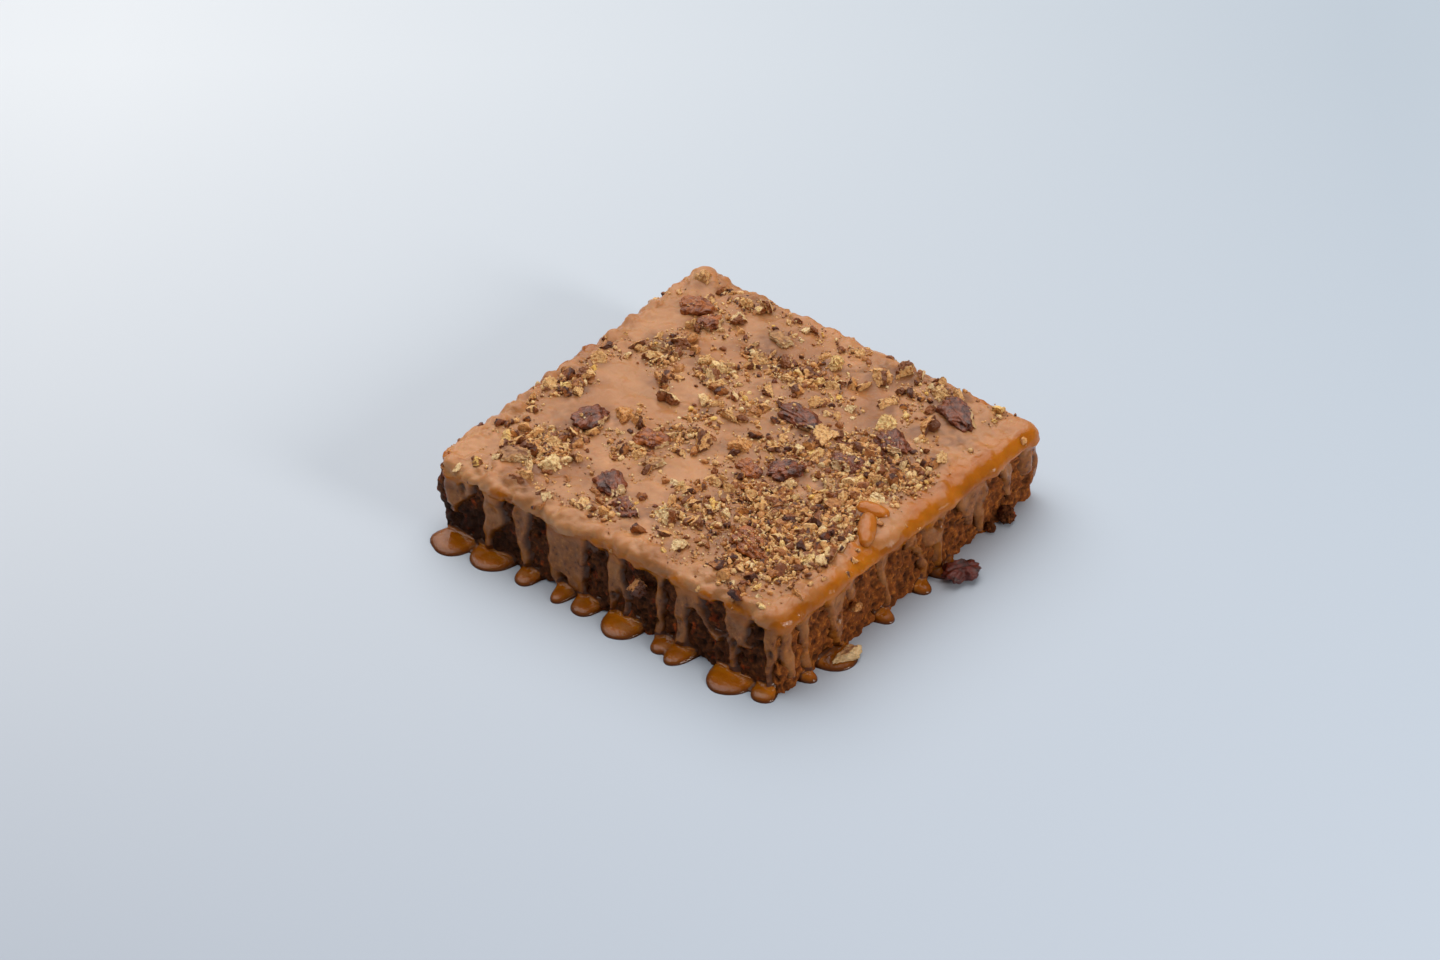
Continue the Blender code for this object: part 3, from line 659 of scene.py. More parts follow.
def domeList():
    draw = random.Random(domes["seed"])
    placed = list(domes["placed"])
    wide, high = domes["chipSkirt"]
    for x, y, size, _ in largeChips:
        placed.append((x, y, toffee["top"], wide * size, high * size))
    wide, high = domes["pecanSkirt"]
    for x, y, length, *_ in topPecans():
        placed.append((x, y, toffee["top"], wide * length, high))
    (count, widths, heights), (reachX, reachY) = domes["top"], domes["topReach"]
    for _ in range(count):
        x, y = draw.uniform(-reachX, reachX), draw.uniform(-reachY, reachY)
        placed.append((x, y, toffee["top"], draw.uniform(*widths), draw.uniform(*heights)))
    for count, widths, heights in domes["edge"]:
        for _ in range(count):
            u, v = squareSpot(np.array([draw.random()]))
            height = draw.uniform(*domes["edgeHeights"])
            x, y, _, _ = rim(u, v, np.array([height]))
            rise = draw.uniform(*heights) * (domes["rightShare"] if u[0] == 1 else 1)
            placed.append((x[0], y[0], height, draw.uniform(*widths), rise))
    return np.array(placed)


def stainShadeOf(x, y):
    # How far crushed nuts and syrup stain the toffee and painted shade darkens it between the grains: most
    # in the heaps and round the pecans.
    still = np.zeros_like(x)
    total = still.copy()
    for a, b, wide, deep, thick in heaps + stains:
        total += thick * np.exp(-(((x - a) / wide) ** 2) - ((y - b) / deep) ** 2)
    stained = [(a, b, length, *stainShading["pecan"]) for a, b, length, *_ in topPecans()]
    stained += [(a, b, size, *stainShading["chip"]) for a, b, size, _ in largeChips]
    for a, b, size, thick, spread in stained:
        total += thick * np.exp(-((x - a) ** 2 + (y - b) ** 2) / (spread * size) ** 2)
    first, second = (waves(x, y, still, *patch) for patch in stainShading["patches"])
    return np.clip(total * (0.9 + first + second), 0, 1)


def domeRise(points, placed):
    rise = np.zeros(len(points))
    for x, y, z, wide, high in placed:
        near = np.nonzero((abs(points[:, 0] - x) < 2.5 * wide) & (abs(points[:, 1] - y) < 2.5 * wide))[0]
        away = ((points[near] - (x, y, z)) ** 2).sum(1) / wide**2
        rise[near] = np.maximum(rise[near], high * np.exp(-away)) + 0.2 * high * np.exp(-away)
    return rise


def closeShell(mesh):
    # Gives the outside a thin wall, flat on its underside, and drops what lies in the crumb.
    bm = bmesh.new()
    bm.from_mesh(mesh)
    layer = bm.verts.layers.float["depth"]
    bare = [f for f in bm.faces if max(vert[layer] for vert in f.verts) < -0.9]
    bmesh.ops.delete(bm, geom=bare, context="FACES")
    outside = set(bm.verts)
    level = toffee["underside"] * mm
    bmesh.ops.solidify(bm, geom=bm.faces[:], thickness=toffee["shell"] * mm)
    inside = [vert for vert in bm.verts if vert not in outside]
    for vert in inside:
        vert.co.z = min(max(vert.co.z, 0.0), level)
    flat = [f for f in bm.faces if all(abs(vert.co.z - level) < 1e-7 for vert in f.verts)]
    bmesh.ops.dissolve_faces(bm, faces=flat)
    bmesh.ops.recalc_face_normals(bm, faces=bm.faces)
    bm.to_mesh(mesh)
    print("glaze triangles", sum(len(f.verts) - 2 for f in bm.faces))
    bm.free()


def toffeeRows():
    # The height of each row under the top's edge, and how far out the shoulder's rows lie.
    wall = list(np.arange(toffee["wallTop"], toffee["foot"][0] + 0.4, -toffee["wallStep"]))
    heights = [z for _, z in toffee["shoulder"]] + wall + list(toffee["foot"])
    outs = [out for out, _ in toffee["shoulder"]] + [0.0] * (len(wall) + len(toffee["foot"]))
    return np.array(heights), np.array(outs)


def toffeeSheet(rows):
    bm = bmesh.new()
    bmesh.ops.create_grid(bm, x_segments=toffee["cells"], y_segments=toffee["cells"], size=1)
    hangRows(bm, rows)
    bmesh.ops.recalc_face_normals(bm, faces=bm.faces)
    if sum(f.normal.z for f in bm.faces) < 0:
        bmesh.ops.reverse_faces(bm, faces=bm.faces)
    return meshOf("toffeeGlaze", bm)


def layTop(u, v):
    # Points of the top, and how near the rolled edge each one lies.
    reach = np.maximum(np.maximum(abs(u), abs(v)), 1e-9)
    ru, rv, _, _ = rounded(u / reach, v / reach)
    inset = 1 - toffee["inset"] / block["halfX"]
    x, y = inCorners(block["shoulder"], ru * reach * inset, rv * reach * inset)
    return np.column_stack((x, y, topHeight(x, y))), climb(reach, 0.86, 0.12)


def filmOf(x, y, height, place):
    # How thick the toffee stands on the side, how well it covers it, and how far the pools reach.
    t = toffee
    fade = climb(height, 0, 5)
    shiftA = sum(waves(x, y, height, *w) for w in t["warp"])
    shiftZ = sum(waves(y, height, x, *w) for w in t["warp"])
    flows = placedFlows()
    covered = coverOf(place + shiftA * fade, height + shiftZ * fade, flows, placedHoles())
    film = t["film"] * np.sqrt(np.clip(covered / t["rounding"], 0, 1))
    film -= t["thinner"] * climb(covered, 1.8, 3.5)
    film = np.where(covered > 0, film, np.maximum(-t["bare"], covered))
    pool = poolReach(place, height, placedPools(flows))
    return np.maximum(film, pool), covered, pool


def laySide(u, v, height, out, shoulder):
    # Points of the side, and what the finish reads there: lip, depth, cover and web.
    t = toffee
    x, y, outX, outY = rim(u, v, height)
    place = distanceRound(u, v)
    film, covered, pool = filmOf(x, y, height, place)
    above = height >= t["rollFrom"]
    hung = np.where(above, out, np.maximum(-t["bare"], out + 2.2 * np.minimum(covered, 0)))
    fuller, start, middle, spread = t["rightSwell"]
    # The lip ends in a steep edge, and where no toffee covers the side it lies inside the crumb.
    swell = fuller * climb(u, start, 0.03) * np.exp(-(((height - middle) / spread) ** 2))
    stand = np.where(shoulder, hung, film + crags(u, v, height)) + swell * (covered > 0)
    rise = np.where(shoulder, (topHeight(x, y) - t["top"]) * climb(height, 36, 6), 0)
    points = np.column_stack((x + outX * stand, y + outY * stand, height + rise))
    # Depth tells where the shell is cut away, and cover how little of the crumb shows through it.
    kept = shoulder & ((height > t["rollFrom"]) | (hung > 0.5))
    depth = np.where(kept, t["solid"], np.where(shoulder, hung, film))
    # the pale top colour, with its painted sheen, runs down to this level
    level, *shape = t["tanSheenDown"]
    middle, wide, drop = t["tanSheenRoll"]
    level = level - drop * np.exp(-((np.abs(x - middle) / wide) ** 2)) * (y < 0)
    lip = climb(level + wander(place, shape), height, 1.8)
    thin = np.where(pool > -1.2, 3 * pool + 1.2, covered + 1.3 * (u > 0.98))
    cover = np.where(shoulder, t["solid"], thin)
    level, *shape = t["amberDown"]
    web = climb(level + wander(place, shape), height, 3) * (pool < -1.2)
    return points, lip, depth, cover, web


def toffeeRelief(points, nearEdge):
    # How far each point is lifted by dimples, lumps on the rolled edge and bumps over nuts.
    t = toffee
    high = points[:, 2]
    smooth = climb(points[:, 0], 86, 8)  # the right lip is glossy and even
    relief = sum(waves(*points.T, *r) for r in t["relief"])
    relief *= np.where(high > 36, 1 - 0.75 * smooth, 0.5)
    onSide = climb(high, 4, 4) * climb(-high, -38, 3)
    relief += onSide * sum(waves(*points.T, *r) for r in t["sideRelief"])
    lumps = sum(size * (1.6 * abs(waves(*points.T, 1.0, *r)) - 0.35) for size, *r in t["edgeRelief"])
    relief += nearEdge * (1 - 0.7 * smooth) * lumps
    return (relief + domeRise(points, domeList())) * climb(high, 0, 4)


def makeToffee(material):
    heights, outs = toffeeRows()
    mesh = toffeeSheet(len(heights))
    spots = pointsOf(mesh)
    u, v, row = spots[:, 0], spots[:, 1], np.round(spots[:, 2]).astype(int)
    top, side = row == 0, row > 0
    points = np.zeros_like(spots)
    lip, web, nearEdge = np.zeros((3, len(spots)))
    depth, cover = np.full((2, len(spots)), toffee["solid"])
    points[top], nearEdge[top] = layTop(u[top], v[top])
    row = row[side] - 1
    height = heights[row]
    shoulder = row < len(toffee["shoulder"])
    laid = laySide(u[side], v[side], height, outs[row], shoulder)
    points[side], lip[side], depth[side], cover[side], web[side] = laid
    nearEdge[side] = climb(height, 34.5, 3)
    print("toffee laid over", len(points), "points")

    putPoints(mesh, points)
    relief = toffeeRelief(points, nearEdge)
    normals = np.empty(len(points) * 3, np.float32)
    mesh.vertices.foreach_get("normal", normals)
    points += normals.reshape(-1, 3) * relief[:, None]
    putPoints(mesh, points * mm)
    start, wide, shape = toffee["rightLip"]
    right = climb(points[:, 0] + waves(*points.T, *shape), start, wide)
    # syrup stain and painted shade on the top only
    stainShade = np.where(points[:, 2] > 40, stainShadeOf(points[:, 0], points[:, 1]), 0)
    putAttribute(mesh, "lip", np.maximum(lip, right))
    for key, values in (("stainShade", stainShade), ("depth", depth), ("cover", cover), ("web", web)):
        putAttribute(mesh, key, values)
    closeShell(mesh)
    return pieceOf("toffeeGlaze", mesh, material)


crumb = {
    "columns": 1060,
    "rowStep": 0.74,
    "pores": ((3.0, 6.0, 0.6), (1.8, 3.0, 0.62)),  # depth, spacing and width of the hollows
    "grain": ((1.0, 4.6, 3.3), (0.55, 2.1, 5.5), (0.3, 1.1, 8.8)),
    "topEdge": (3, 1.6),  # over what height the top edge draws in, and how far
    "lumps": (0.30, 1.6, 0.22, 5),  # size and fineness of the lumps on a loose crumb
    "footCrumbs": ((101.9, 73.0, 4.0, 8.0), (100.6, 62.3, 2.5, 5.0)),  # X, Y, height, size
}


def squareSpot(turn):
    # A share of the way round, as a point on the edge of the square from -1 to 1.
    turn = (turn * 4) % 4
    side = np.floor(turn)
    along = 2 * (turn - side) - 1
    u = np.select([side == 0, side == 1, side == 2], [along, 1.0, -along], -1.0)
    v = np.select([side == 0, side == 1, side == 2], [-1.0, along, 1.0], -along)
    return u, v


def makeCrumb(material):
    c = crumb
    heights = np.arange(block["height"], 0, -c["rowStep"])
    heights = np.append(heights, 0.0)
    bm = bmesh.new()
    bmesh.ops.create_circle(bm, cap_ends=True, radius=1, segments=c["columns"])
    end = hangRows(bm, len(heights) - 1)
    bmesh.ops.edgeloop_fill(bm, edges=end)
    bmesh.ops.recalc_face_normals(bm, faces=bm.faces)
    mesh = meshOf("dateCrumb", bm)
    spots = pointsOf(mesh)
    row = np.round(spots[:, 2]).astype(int)
    turn = np.arctan2(spots[:, 1], spots[:, 0]) / (2 * math.pi) + 0.5
    u, v = squareSpot(turn)
    height = heights[row]
    x, y, outX, outY = rim(u, v, height)
    stand = crags(u, v, height)
    poreShadeAndDark = np.zeros(len(x))
    for depth, spacing, width in c["pores"]:
        near = np.array([noise.voronoi(Vector(p) / spacing)[0][0] for p in zip(x, y, height)])
        dent = np.clip(1 - near / width, 0, 1)
        stand -= depth * dent**1.5
        poreShadeAndDark = np.maximum(poreShadeAndDark, dent)
    stand += sum(waves(x, y, height, *grain) for grain in c["grain"]) - 0.25
    high, inward = c["topEdge"]
    edge = climb(block["height"], height, high)
    stand = stand * edge - inward * (1 - edge)
    points = np.column_stack((x + outX * stand, y + outY * stand, height)) * mm
    putPoints(mesh, points)
    lowFrontLeft = climb(-x, 30, 40) * climb(-height, -26, 8) * (v < -0.99)  # darker low on the front left
    # painted shade in the pore hollows, and darker low on the front left
    putAttribute(mesh, "poreShadeAndDark", np.maximum(np.clip(poreShadeAndDark * 1.2 - 0.2, 0, 1), 0.7 * lowFrontLeft))
    # Soaked crumb keeps its plain colour: the right side most, as toffee and painted light; the front
    # least, as painted shade
    soakedLit = climb(u + 0.06 * waves(x, y, height, 1, 6, 2.2), 0.93, 0.06)
    soakedLit = np.maximum(soakedLit, np.where(v < -0.99, 0, 0.6))
    putAttribute(mesh, "soakedLit", soakedLit)
    print("crumb cut from", len(points), "points")
    return pieceOf("dateCrumb", mesh, material)


def makeFootCrumb(number, material):
    x, y, z, size = crumb["footCrumbs"][number]
    broad, broadFine, small, smallFine = crumb["lumps"]
    shift = Vector((x, y, z))
    bm = bmesh.new()
    bmesh.ops.create_icosphere(bm, subdivisions=5, radius=size / 2)
    for vert in bm.verts:
        way = vert.co.normalized()
        lump = broad * noise.noise(way * broadFine + shift)
        vert.co *= 1 + lump + small * noise.noise(way * smallFine + shift)
    bmesh.ops.translate(bm, verts=bm.verts, vec=shift)
    bmesh.ops.scale(bm, verts=bm.verts, vec=(mm, mm, mm))
    piece = newPiece(f"footCrumb{number}", bm, material)
    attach(piece, "root")


pecans = {  # X, Y, length, width, turn in degrees, look and share broken open, for each node
    "back_left_half": (-82, 71.5, 16.5, 13, 20, "red", 0.15),
    "back_left_piece": (-69, 65, 13, 10.5, 60, "red", 0.3),
    "back_right_half": (68, 79, 24, 14, -25, "dark", 0.1),
    "back_pale_piece": (-34, 74, 19, 10, -12, "pale", 0.6),
    "right_lump": (58, 41, 19, 13, -35, "dark", 0.2),
    "middle_half": (13, 30, 25, 12.5, -12, "dark", 0.1),
    "centre_purple": (51, 15, 15, 12, 15, "dark", 0.2),
    "centre_grey": (54, -2, 13, 10, -20, "pale", 0.8),
    "centre_dark": (32, -5, 17, 13, 60, "dark", 0.2),
    "centre_rust": (18, -15, 14, 9.5, -20, "red", 0.2),
    "left_flake": (-31, -26, 16, 12, 10, "red", 0.2),
    "left_pair_near": (-63.5, -31, 18, 14, 80, "dark", 0.15),
    "left_tan_piece": (-76, 34, 15, 9.5, 10, "pale", 0.7),
    "front_purple": (-24, -64, 18, 13, -35, "dark", 0.1),
    "front_open_half": (-7, -73, 15, 10.5, -30, "dark", 0.5),
    "front_tan_piece": (-17, -39, 13.5, 9.5, 30, "pale", 0.6),
    "front_left_half": (-71, -75, 17.5, 11, 25, "pale", 0.5),
    "front_right_half": (54, -60, 25, 14.5, -20, "red", 0.3),
    "pool_pecan": (107, -57, 17, 11, 68, "pale", 0.7),
    "foot_pecan": (110.5, 25, 17.5, 13, 62, "wet", 0),
}
pecanShape = {
    "height": 0.56,  # of its width
    "groove": (0.24, 0.25),  # depth and half width of the groove along the back
    "waist": 0.1,
    "ribs": (0.08, 9, 0.06, 14),  # height and number of the ribs along and across
    "lumps": 0.20,
    "ragged": (0.16, 0.09),  # how uneven a break's outline and its face are
    "fuller": 1.04,
}


def topPecans():
    # All but the two that lie at the foot.
    return [pecan for node, pecan in pecans.items() if node not in ("pool_pecan", "foot_pecan")]


def nutPoints(points, seed, faces, rough=0.09):
    # Half a pecan over a unit ball, broken along the given faces (way out, reach). It gives the
    # new points and, for each, how far it shows the pale flesh.
    shift = Vector((seed, 2.3 * seed, -1.7 * seed))
    deep, wide = pecanShape["groove"]
    high, along, low, across = pecanShape["ribs"]
    outline, face = pecanShape["ragged"]
    shaped, flesh = [], []
    for point in points:
        p = Vector(point).normalized()
        groove = deep * math.exp(-((p.y / wide) ** 2)) * max(0.0, p.z)
        ribs = high * math.sin(along * p.x + 3 * noise.noise(p * 1.6 + shift)) * min(1.0, 2.5 * abs(p.y))
        ribs += low * math.sin(across * p.y + 4 * noise.noise(p * 1.3 + shift))
        lump = pecanShape["lumps"] * noise.noise(p * 1.5 + shift) + rough * noise.noise(p * 5 + shift)
        lump += 0.4 * rough * noise.noise(p * 11 + shift)
        waist = 1 - pecanShape["waist"] * math.cos(2 * math.pi * p.x)
        shape = Vector((p.x, p.y * waist, p.z - groove)) * (1 + ribs + lump)
        shown = 0.0
        for way, reach in faces:
            past = shape.dot(way) - reach - outline * noise.noise(shape * 3.1 + shift)
            if past > 0:
                shape -= way * past
                shape += way * face * noise.noise(shape * 7 + shift)
                shown = 1.0
        shaped.append(shape)
        flesh.append(shown)
    return shaped, flesh


def breakFaces(draw, count, reach, lift=0.15):
    faces = []
    for _ in range(count):
        turn = draw.uniform(0, 2 * math.pi)
        way = Vector((math.cos(turn), math.sin(turn), draw.uniform(-lift, 3 * lift))).normalized()
        faces.append((way, draw.uniform(*reach)))
    return faces


def makePecan(number, node, looks):
    _, _, length, width, turn, look, broken = pecans[node]
    lowest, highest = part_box(node)
    draw = random.Random(100 + number)
    half = Vector((length, width, pecanShape["height"] * width)) / 2 * pecanShape["fuller"]
    bm = bmesh.new()
    bmesh.ops.create_icosphere(bm, subdivisions=5, radius=1)
    flesh = bm.verts.layers.float.new("flesh")
    breaks = 1 + round(2.5 * broken) if broken else 0
    faces = breakFaces(draw, breaks, (0.9 - 0.75 * broken, 0.95 - 0.5 * broken))
    shaped, shown = nutPoints([vert.co for vert in bm.verts], draw.uniform(0, 30), faces)
    for vert, shape, pale in zip(bm.verts, shaped, shown):
        vert.co = Vector((shape.x * half.x, shape.y * half.y, shape.z * half.z))
        vert[flesh] = pale
    bmesh.ops.rotate(bm, verts=bm.verts, matrix=Matrix.Rotation(math.radians(turn), 3, "Z"))
    bmesh.ops.scale(bm, verts=bm.verts, vec=(mm, mm, mm))
    bmesh.ops.translate(bm, verts=bm.verts, vec=(lowest + highest) / 2)
    piece = newPiece("pecan_" + node, bm, looks[look])
    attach(piece, "root")
    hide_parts(node)


largeChips = (  # X, Y, size and tone, from dark skin at 0 to bright yellow flesh at 1
    (-61, 77, 9, 0.9), (-2, 76, 10, 1.0), (20, 79, 12, 0.35), (29, 90, 10, 0.55), (37, 65, 9, 0.5),
    (62, 61, 11, 0.15), (-13, 40, 10, 0.6), (-41, 31, 9, 0.8), (-12, 10, 10, 0.5), (-59, 14, 10, 0.1),
    (-46, 6, 10, 0.9), (-69, 44, 9, 0.6), (-92, 8, 8, 0.5), (-87, -14, 9, 0.55), (-95, -23, 8, 0.6),
    (14, -51, 8, 0.4), (11, -68, 10, 0.95), (28, -80, 9, 0.9), (21, -34, 8, 0.5), (78, 2, 8, 0.95),
    (-59, -86, 10, 0.3), (-77, -54, 9, 0.5), (-94, 90, 10, 0.4), (-43, -19, 9, 0.15), (5, -5, 10, 0.1),
    (-11, -14, 11, 0.3), (-53, -20, 11, 0.05), (44, 52, 11, 1.0), (30, 24, 11, 0.5), (-54, -69, 11, 0.97),
    (-50, 40, 8, 0.7), (-36, 28, 7.5, 0.6), (-30, 55, 8, 0.5), (-20, 63, 7.5, 0.7), (-10, 52, 8, 0.6),
    (10, 60, 8.5, 0.65), (-75, 27, 8, 0.75), (-81, 41, 7.5, 0.5), (-88, -5, 8.5, 0.7), (-82, -19, 7.5, 0.6),
    (-66, -55, 8.5, 0.7), (-79, -66, 8, 0.45), (-61, -78, 8, 0.85), (-48, -58, 7, 0.5), (24, -62, 7.5, 0.6),
    (5, -46, 7, 0.5), (-24, -82, 7.5, 0.7), (53, 86, 8, 0.6), (60, 90, 7, 0.4), (-56, 93, 8.5, 0.7),
    (-66, 88, 8, 0.55), (36, 12, 8, 0.6), (44, 24, 8.5, 0.5), (62, 24, 8, 0.7), (70, 14, 7.5, 0.5),
    (40, -14, 8, 0.8), (64, 8, 8.5, 0.6), (-25, 14, 7.5, 0.45), (82, 46, 8, 0.7), (12, 44, 8, 0.35),
)
stains = ((80, 62, 8, 7, 0.7), (30, 88, 26, 8, 0.6), (-28, 10, 9, 7, 0.1), (66, 4, 18, 16, 0.2),
          (-80, -36, 9, 8, 0.25), (-66, -62, 20, 18, 0.6), (80, 26, 12, 12, 0.35), (4, 74, 20, 6, 0.4),
          (-40, 62, 16, 8, 0.4), (-55, -88, 14, 5, 0.35), (40, 58, 14, 10, 0.3))  # as heaps, with no nuts
heaps = (  # X, Y, half width, half depth and how thickly the granules lie
    (66, -52, 23, 26, 1.0), (46, -28, 24, 11, 0.8), (78, -20, 12, 16, 0.7), (66, 4, 20, 20, 0.55),
    (52, 26, 22, 14, 0.6), (-30, 58, 15, 6, 0.5), (0, 59, 18, 12, 0.4), (-72, 34, 10, 12, 0.6),
    (-43, 35, 14, 8, 0.45), (-26, 7, 6, 11, 0.45), (-12, 24, 9, 11, 0.35), (-90, -14, 8, 10, 0.5),
    (-66, -62, 15, 15, 0.65), (-34, -36, 14, 9, 0.3), (17, -55, 15, 15, 0.5), (-20, -82, 12, 6, 0.3),
    (50, 86, 8, 7, 0.4), (-66, 90, 10, 6, 0.5), (-80, 92, 7, 5, 0.3), (22, 8, 20, 14, 0.3),
    (80, 26, 12, 14, 0.35), (-20, -12, 14, 9, 0.3),
)
scatter = {
    "chips": {"count": 620, "sizes": (3.4, 7.6), "divisions": 3, "shapes": 30, "seed": 5, "skew": 1.3,
              "skins": 0.7},
    "granules": {"count": 2400, "sizes": (1.8, 3.8), "divisions": 2, "shapes": 60, "seed": 6, "skins": 0.5,
                 "rough": 0.14, "reach": (0.45, 0.9), "sharp": 60},
    "crushed": {"count": 6500, "sizes": (0.9, 2.1), "divisions": 1, "seed": 7, "sharp": 75},
    "powder": {"count": 9500, "sizes": (0.4, 1.0), "divisions": 0, "seed": 8},
    "edge": {"count": 130, "sizes": (1.2, 5.0), "divisions": 3, "shapes": 20, "seed": 9, "skins": 0.6},
    "placed": {"divisions": 4, "shapes": 40, "seed": 15, "skins": 0.5},
    "paleHeap": (66.0, 2.0, 21.0, 17.0),  # X, Y and half widths of where most bits are bare flesh
    "area": ((-98, 92), (-90, 97)),  # X and Y of where single grains may fall
    "edges": (-98, 95, -92, 98),  # lowest and highest X and Y that a grain keeps to
    "rightLip": (88, 0.8),  # past this X most grains are left out
    "heapSpread": 0.55,  # the usual distance from a heap's middle, of its half widths
    "pile": (0.5, 2.2, 0.4),  # share piled up, how high, and how thick a heap must be for it
    "thinned": (17, 3.3, -0.05),  # spacing, seed and level of the places that single grains leave out
    "onPecans": (2.6, 0.7),  # the largest grain that lies on a pecan, and the share left out there
}
sideNuts = ((19, -96.8, 9, 25), (99.4, -41, 6.5, 19), (98.5, -33, 4.5, 35),
            (98.8, -27.5, 3.4, 37.5), (97.5, -24, 3, 39.5), (98.9, -37, 3.2, 33))


def baseGrain(divisions):
    bm = bmesh.new()
    if divisions:
        bmesh.ops.create_icosphere(bm, subdivisions=divisions, radius=0.5)
    else:
        bmesh.ops.create_cube(bm, size=0.7)
    bmesh.ops.triangulate(bm, faces=bm.faces)
    points = np.array([v.co for v in bm.verts])
    faces = np.array([[v.index for v in f.verts] for f in bm.faces])
    bm.free()
    return points, faces


def pecanRise(x, y):
    # How far a pecan stands above the toffee at a place.
    for a, b, length, width, turn, *_ in topPecans():
        c, s = math.cos(math.radians(turn)), math.sin(math.radians(turn))
        along, across = (x - a) * c + (y - b) * s, (y - b) * c - (x - a) * s
        left = 1 - (2 * along / length) ** 2 - (2 * across / width) ** 2
        if left > 0:
            high = pecanShape["height"] * width
            return high * (0.2 + 0.5 * math.sqrt(left)) * 0.86
    return 0.0


bare = ((-75, 8, 12), (-51, 52, 10), (6, 48, 6), (-19, 79, 6), (78, 62, 8), (-28, 10, 5), (-2, 8, 5),
        (-2, -56, 8), (-41, -66, 9), (-91, -78, 10), (6, -86, 10), (-79, -38, 8))  # X, Y, radius


def isBare(x, y, draw):
    return any((x - a) ** 2 + (y - b) ** 2 < r * r for a, b, r in bare) and draw.random() < 0.85


def grainSpots(kind, spread):
    # Most fall in the heaps and the rest anywhere. Each spot is X, Y, size and height.
    draw = random.Random(kind["seed"])
    weights = [wide * deep * thick for _, _, wide, deep, thick in heaps]
    areaX, areaY = scatter["area"]
    lowX, highX, lowY, highY = scatter["edges"]
    lipX, fewer = scatter["rightLip"]
    spreadIn = scatter["heapSpread"]
    piled, high, thinnest = scatter["pile"]
    spacing, seed, level = scatter["thinned"]
    largest, leftOut = scatter["onPecans"]
    spots = []
    while len(spots) < kind["count"]:
        x, y, wide, deep, thick = draw.choices(heaps, weights)[0]
        x, y = draw.gauss(x, spreadIn * wide), draw.gauss(y, spreadIn * deep)
        pile = draw.uniform(0, high) * max(0.0, thick - thinnest) if draw.random() < piled else 0.0
        if draw.random() < spread:
            x, y, pile = draw.uniform(*areaX), draw.uniform(*areaY), 0.0
            if noise.noise(Vector((x / spacing, y / spacing, seed))) < level:
                continue
        small, large = kind["sizes"]
        size = small + (large - small) * draw.random() ** kind.get("skew", 1.6)
        if not (lowX <= x <= highX and lowY <= y <= highY) or x > lipX and draw.random() < fewer:
            continue
        if isBare(x, y, draw):
            continue
        rise = pecanRise(x, y)
        if rise > 0 and (size > largest or draw.random() < leftOut):
            continue
        spots.append((x, y, size, rise + pile))
    spots = np.array(spots)
    spots[:, 3] += topHeight(spots[:, 0], spots[:, 1])
    return spots


def edgeSpots(kind):
    # Bits of nut stuck along the rolled edge.
    rng = np.random.default_rng(kind["seed"])
    u, v = squareSpot(rng.random(kind["count"]))
    height = rng.uniform(36.5, 41.8, len(u))
    outs, levels = np.array(toffee["shoulder"]).T
    x, y, outX, outY = rim(u, v, height)
    out = np.interp(-height, -levels, outs)
    small, large = kind["sizes"]
    size = small + (large - small) * rng.random(len(u)) ** 2.2
    spots = np.column_stack((x + outX * out, y + outY * out, size, height))
    return spots[(u < 1) | (rng.random(len(u)) < 0.3)]


def inPaleHeap(spots):
    x, y, wide, deep = scatter["paleHeap"]
    return ((spots[:, 0] - x) / wide) ** 2 + ((spots[:, 1] - y) / deep) ** 2 < 1


def nutGrains(points, spots, kind, rng):
    # Each chip is one of a few differently broken bits of pecan, and only some keep their skin.
    made, count = [], len(spots)
    for number in range(kind["shapes"]):
        draw = random.Random(500 + number)
        faces = breakFaces(draw, draw.choice((3, 4, 5)), kind.get("reach", (0.2, 0.75)), 0.5)
        shaped, flesh = nutPoints(points, draw.uniform(0, 40), faces, kind.get("rough", 0.2))
        made.append((np.array(shaped) * 0.58, 1 - np.array(flesh)))
    pick = rng.integers(0, kind["shapes"], count)
    skinned = rng.random(count) < kind["skins"] * np.where(inPaleHeap(spots), 0.2, 1)
    return np.array([made[i][0] for i in pick]), np.array([made[i][1] * s for i, s in zip(pick, skinned)])


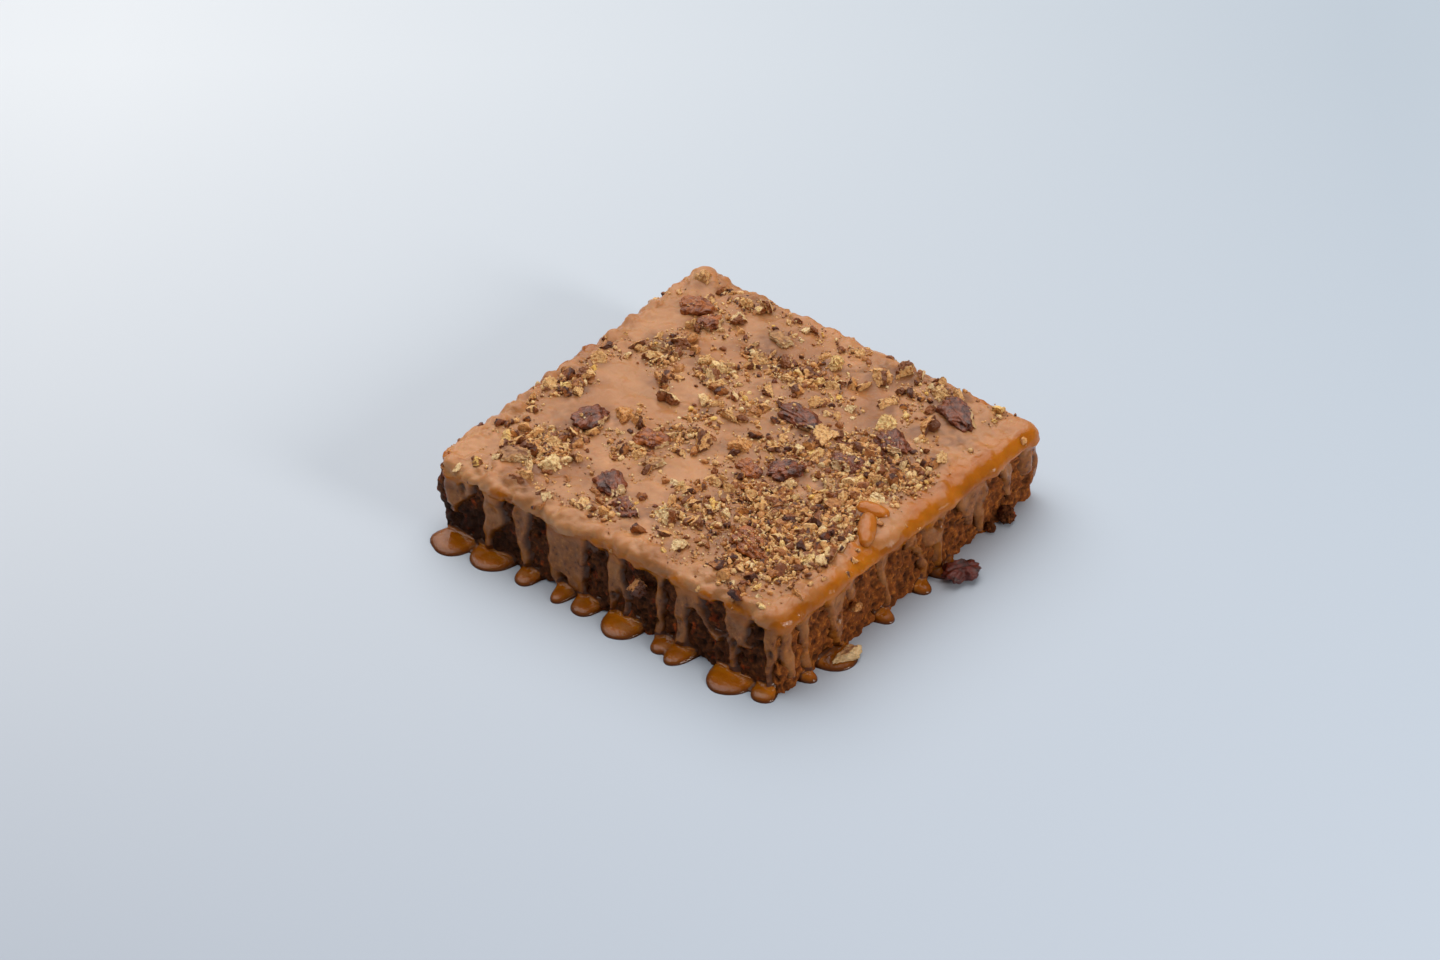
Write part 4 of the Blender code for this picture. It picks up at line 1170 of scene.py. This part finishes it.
def makeGrains(name, kind, spots, material, sink=0.18, tones=None):
    # Joins a turned and stretched copy of one rough grain at each spot.
    points, faces = baseGrain(kind["divisions"])
    rng = np.random.default_rng(kind["seed"])
    count = len(spots)
    if "shapes" in kind:
        grown, skin = nutGrains(points, spots, kind, rng)
    else:
        grown = points * (1 + rng.uniform(-0.28, 0.28, (count, len(points), 1)))
        skin = np.zeros((count, len(points)))
    stretch = np.column_stack((np.ones(count), rng.uniform(0.6, 0.9, count), rng.uniform(0.55, 0.9, count)))
    local = grown * stretch[:, None] * spots[:, 2, None, None]
    turn, tilt = rng.uniform(0, 2 * math.pi, count), rng.uniform(-0.7, 0.7, count)
    c, s = np.cos(tilt)[:, None], np.sin(tilt)[:, None]
    x, z = local[..., 0] * c - local[..., 2] * s, local[..., 0] * s + local[..., 2] * c
    c, s = np.cos(turn)[:, None], np.sin(turn)[:, None]
    x, y = x * c - local[..., 1] * s, x * s + local[..., 1] * c
    ground = spots[:, 3] + sink * spots[:, 2]
    placed = np.stack((x + spots[:, None, 0], y + spots[:, None, 1], z + ground[:, None]), -1)
    mesh = bpy.data.meshes.new(name)
    allFaces = faces[None] + np.arange(count)[:, None, None] * len(points)
    mesh.from_pydata(placed.reshape(-1, 3) * mm, [], allFaces.reshape(-1, 3))
    tones = rng.uniform(0, 1, count) if tones is None else tones
    putAttribute(mesh, "tone", np.repeat(tones, len(points)))
    putAttribute(mesh, "skin", skin.ravel())
    print(name, count)
    piece = pieceOf(name, mesh, material)
    mesh.set_sharp_from_angle(angle=math.radians(kind.get("sharp", 40)))
    return piece


glazedNuts = {  # X, Y, height, length, width, depth and turn of nuts wholly under toffee
    "seed": (88.3, -18.2, 43, 23, 8.6, 7, -56),
    "bump": (81.5, -4.5, 42.7, 16, 9, 6, 8),
    "frontBump": (-59, -86, 41.6, 10, 7, 4, 15),
    "cornerLump": (-95, 95, 42.2, 18, 12, 6.5, -35),
}


def makeGlazedNut(name, material):
    x, y, z, length, width, high, turn = glazedNuts[name]
    bm = bmesh.new()
    bmesh.ops.create_icosphere(bm, subdivisions=5, radius=0.5)
    for vert in bm.verts:
        p = vert.co
        taper = (1 - 0.2 * p.x) * (1.03 - 4 * p.x * p.x) ** -0.16
        uneven = 1 + 0.06 * noise.noise(p * 5 + Vector((x, y, 0)))
        vert.co = Vector((p.x, p.y * taper, p.z * taper)) * uneven
    layers = [bm.verts.layers.float.new(key) for key in ("lip", "depth", "cover")]
    for vert in bm.verts:
        for layer, value in zip(layers, (0.95 if x > 0 else 0.0, 9.0, 9.0)):
            vert[layer] = value
    bmesh.ops.scale(bm, verts=bm.verts, vec=(length, width, high))
    bmesh.ops.rotate(bm, verts=bm.verts, matrix=Matrix.Rotation(math.radians(turn), 3, "Z"))
    bmesh.ops.translate(bm, verts=bm.verts, vec=(x, y, z))
    bmesh.ops.scale(bm, verts=bm.verts, vec=(mm, mm, mm))
    piece = newPiece("glazed_" + name, bm, material)
    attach(piece, "root")


makeCamera()
makeLights()

bm = bmesh.new()
bmesh.ops.create_grid(bm, x_segments=8, y_segments=8, size=studio["floorSize"] / 2)
floor = newPiece("floor", bm, floorFinish())
print("studio ready")

toffeeLook = toffeeFinish()
glaze = makeToffee(toffeeLook)
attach(glaze, "root")
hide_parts("toffee_glaze")

for name in glazedNuts:
    makeGlazedNut(name, toffeeLook)

crumbLook = crumbFinish()
for number in range(len(crumb["footCrumbs"])):
    makeFootCrumb(number, crumbLook)
cake = makeCrumb(crumbLook)
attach(cake, "root")
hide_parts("cake")

pale = ((0.55, 0.32, 0.13), (0.85, 0.58, 0.30))
looks = {
    "dark": nutFinish("purplePecan", ((0.06, 0.012, 0.005), (0.30, 0.078, 0.026)), pale, 0.27),
    "red": nutFinish("redPecan", ((0.14, 0.026, 0.004), (0.50, 0.145, 0.024)), pale, 0.25),
    "wet": nutFinish("wetPecan", ((0.030, 0.006, 0.003), (0.17, 0.022, 0.010)), pale, 0.16),
    "pale": nutFinish("palePecan", ((0.22, 0.075, 0.022), (0.60, 0.30, 0.105)), pale, 0.45),
}
for number, node in enumerate(pecans):
    makePecan(number, node, looks)
print("pecans placed")

nutLook = grainFinish("paleGrain", "nut", 0.34)
powderLook = grainFinish("nutPowder", "powder", 0.5)
large = np.array(largeChips, float)
tones, large = large[:, 3], np.column_stack((large[:, :3], topHeight(large[:, 0], large[:, 1])))
grains = [
    makeGrains("largeChips", scatter["placed"], large, nutLook, 0.17, 0.35 + 0.6 * tones),
    makeGrains("sideNuts", scatter["placed"], np.array(sideNuts), nutLook, 0),
    makeGrains("chips", scatter["chips"], grainSpots(scatter["chips"], 0.3), nutLook, 0.14),
    makeGrains("granules", scatter["granules"], grainSpots(scatter["granules"], 0.25), nutLook),
    makeGrains("crushed", scatter["crushed"], grainSpots(scatter["crushed"], 0.45), nutLook),
    makeGrains("powder", scatter["powder"], grainSpots(scatter["powder"], 0.5), powderLook),
    makeGrains("edgeBits", scatter["edge"], edgeSpots(scatter["edge"]), nutLook, 0.1),
]
for piece in grains:
    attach(piece, "root")

bpy.context.scene.view_settings.view_transform = "Standard"
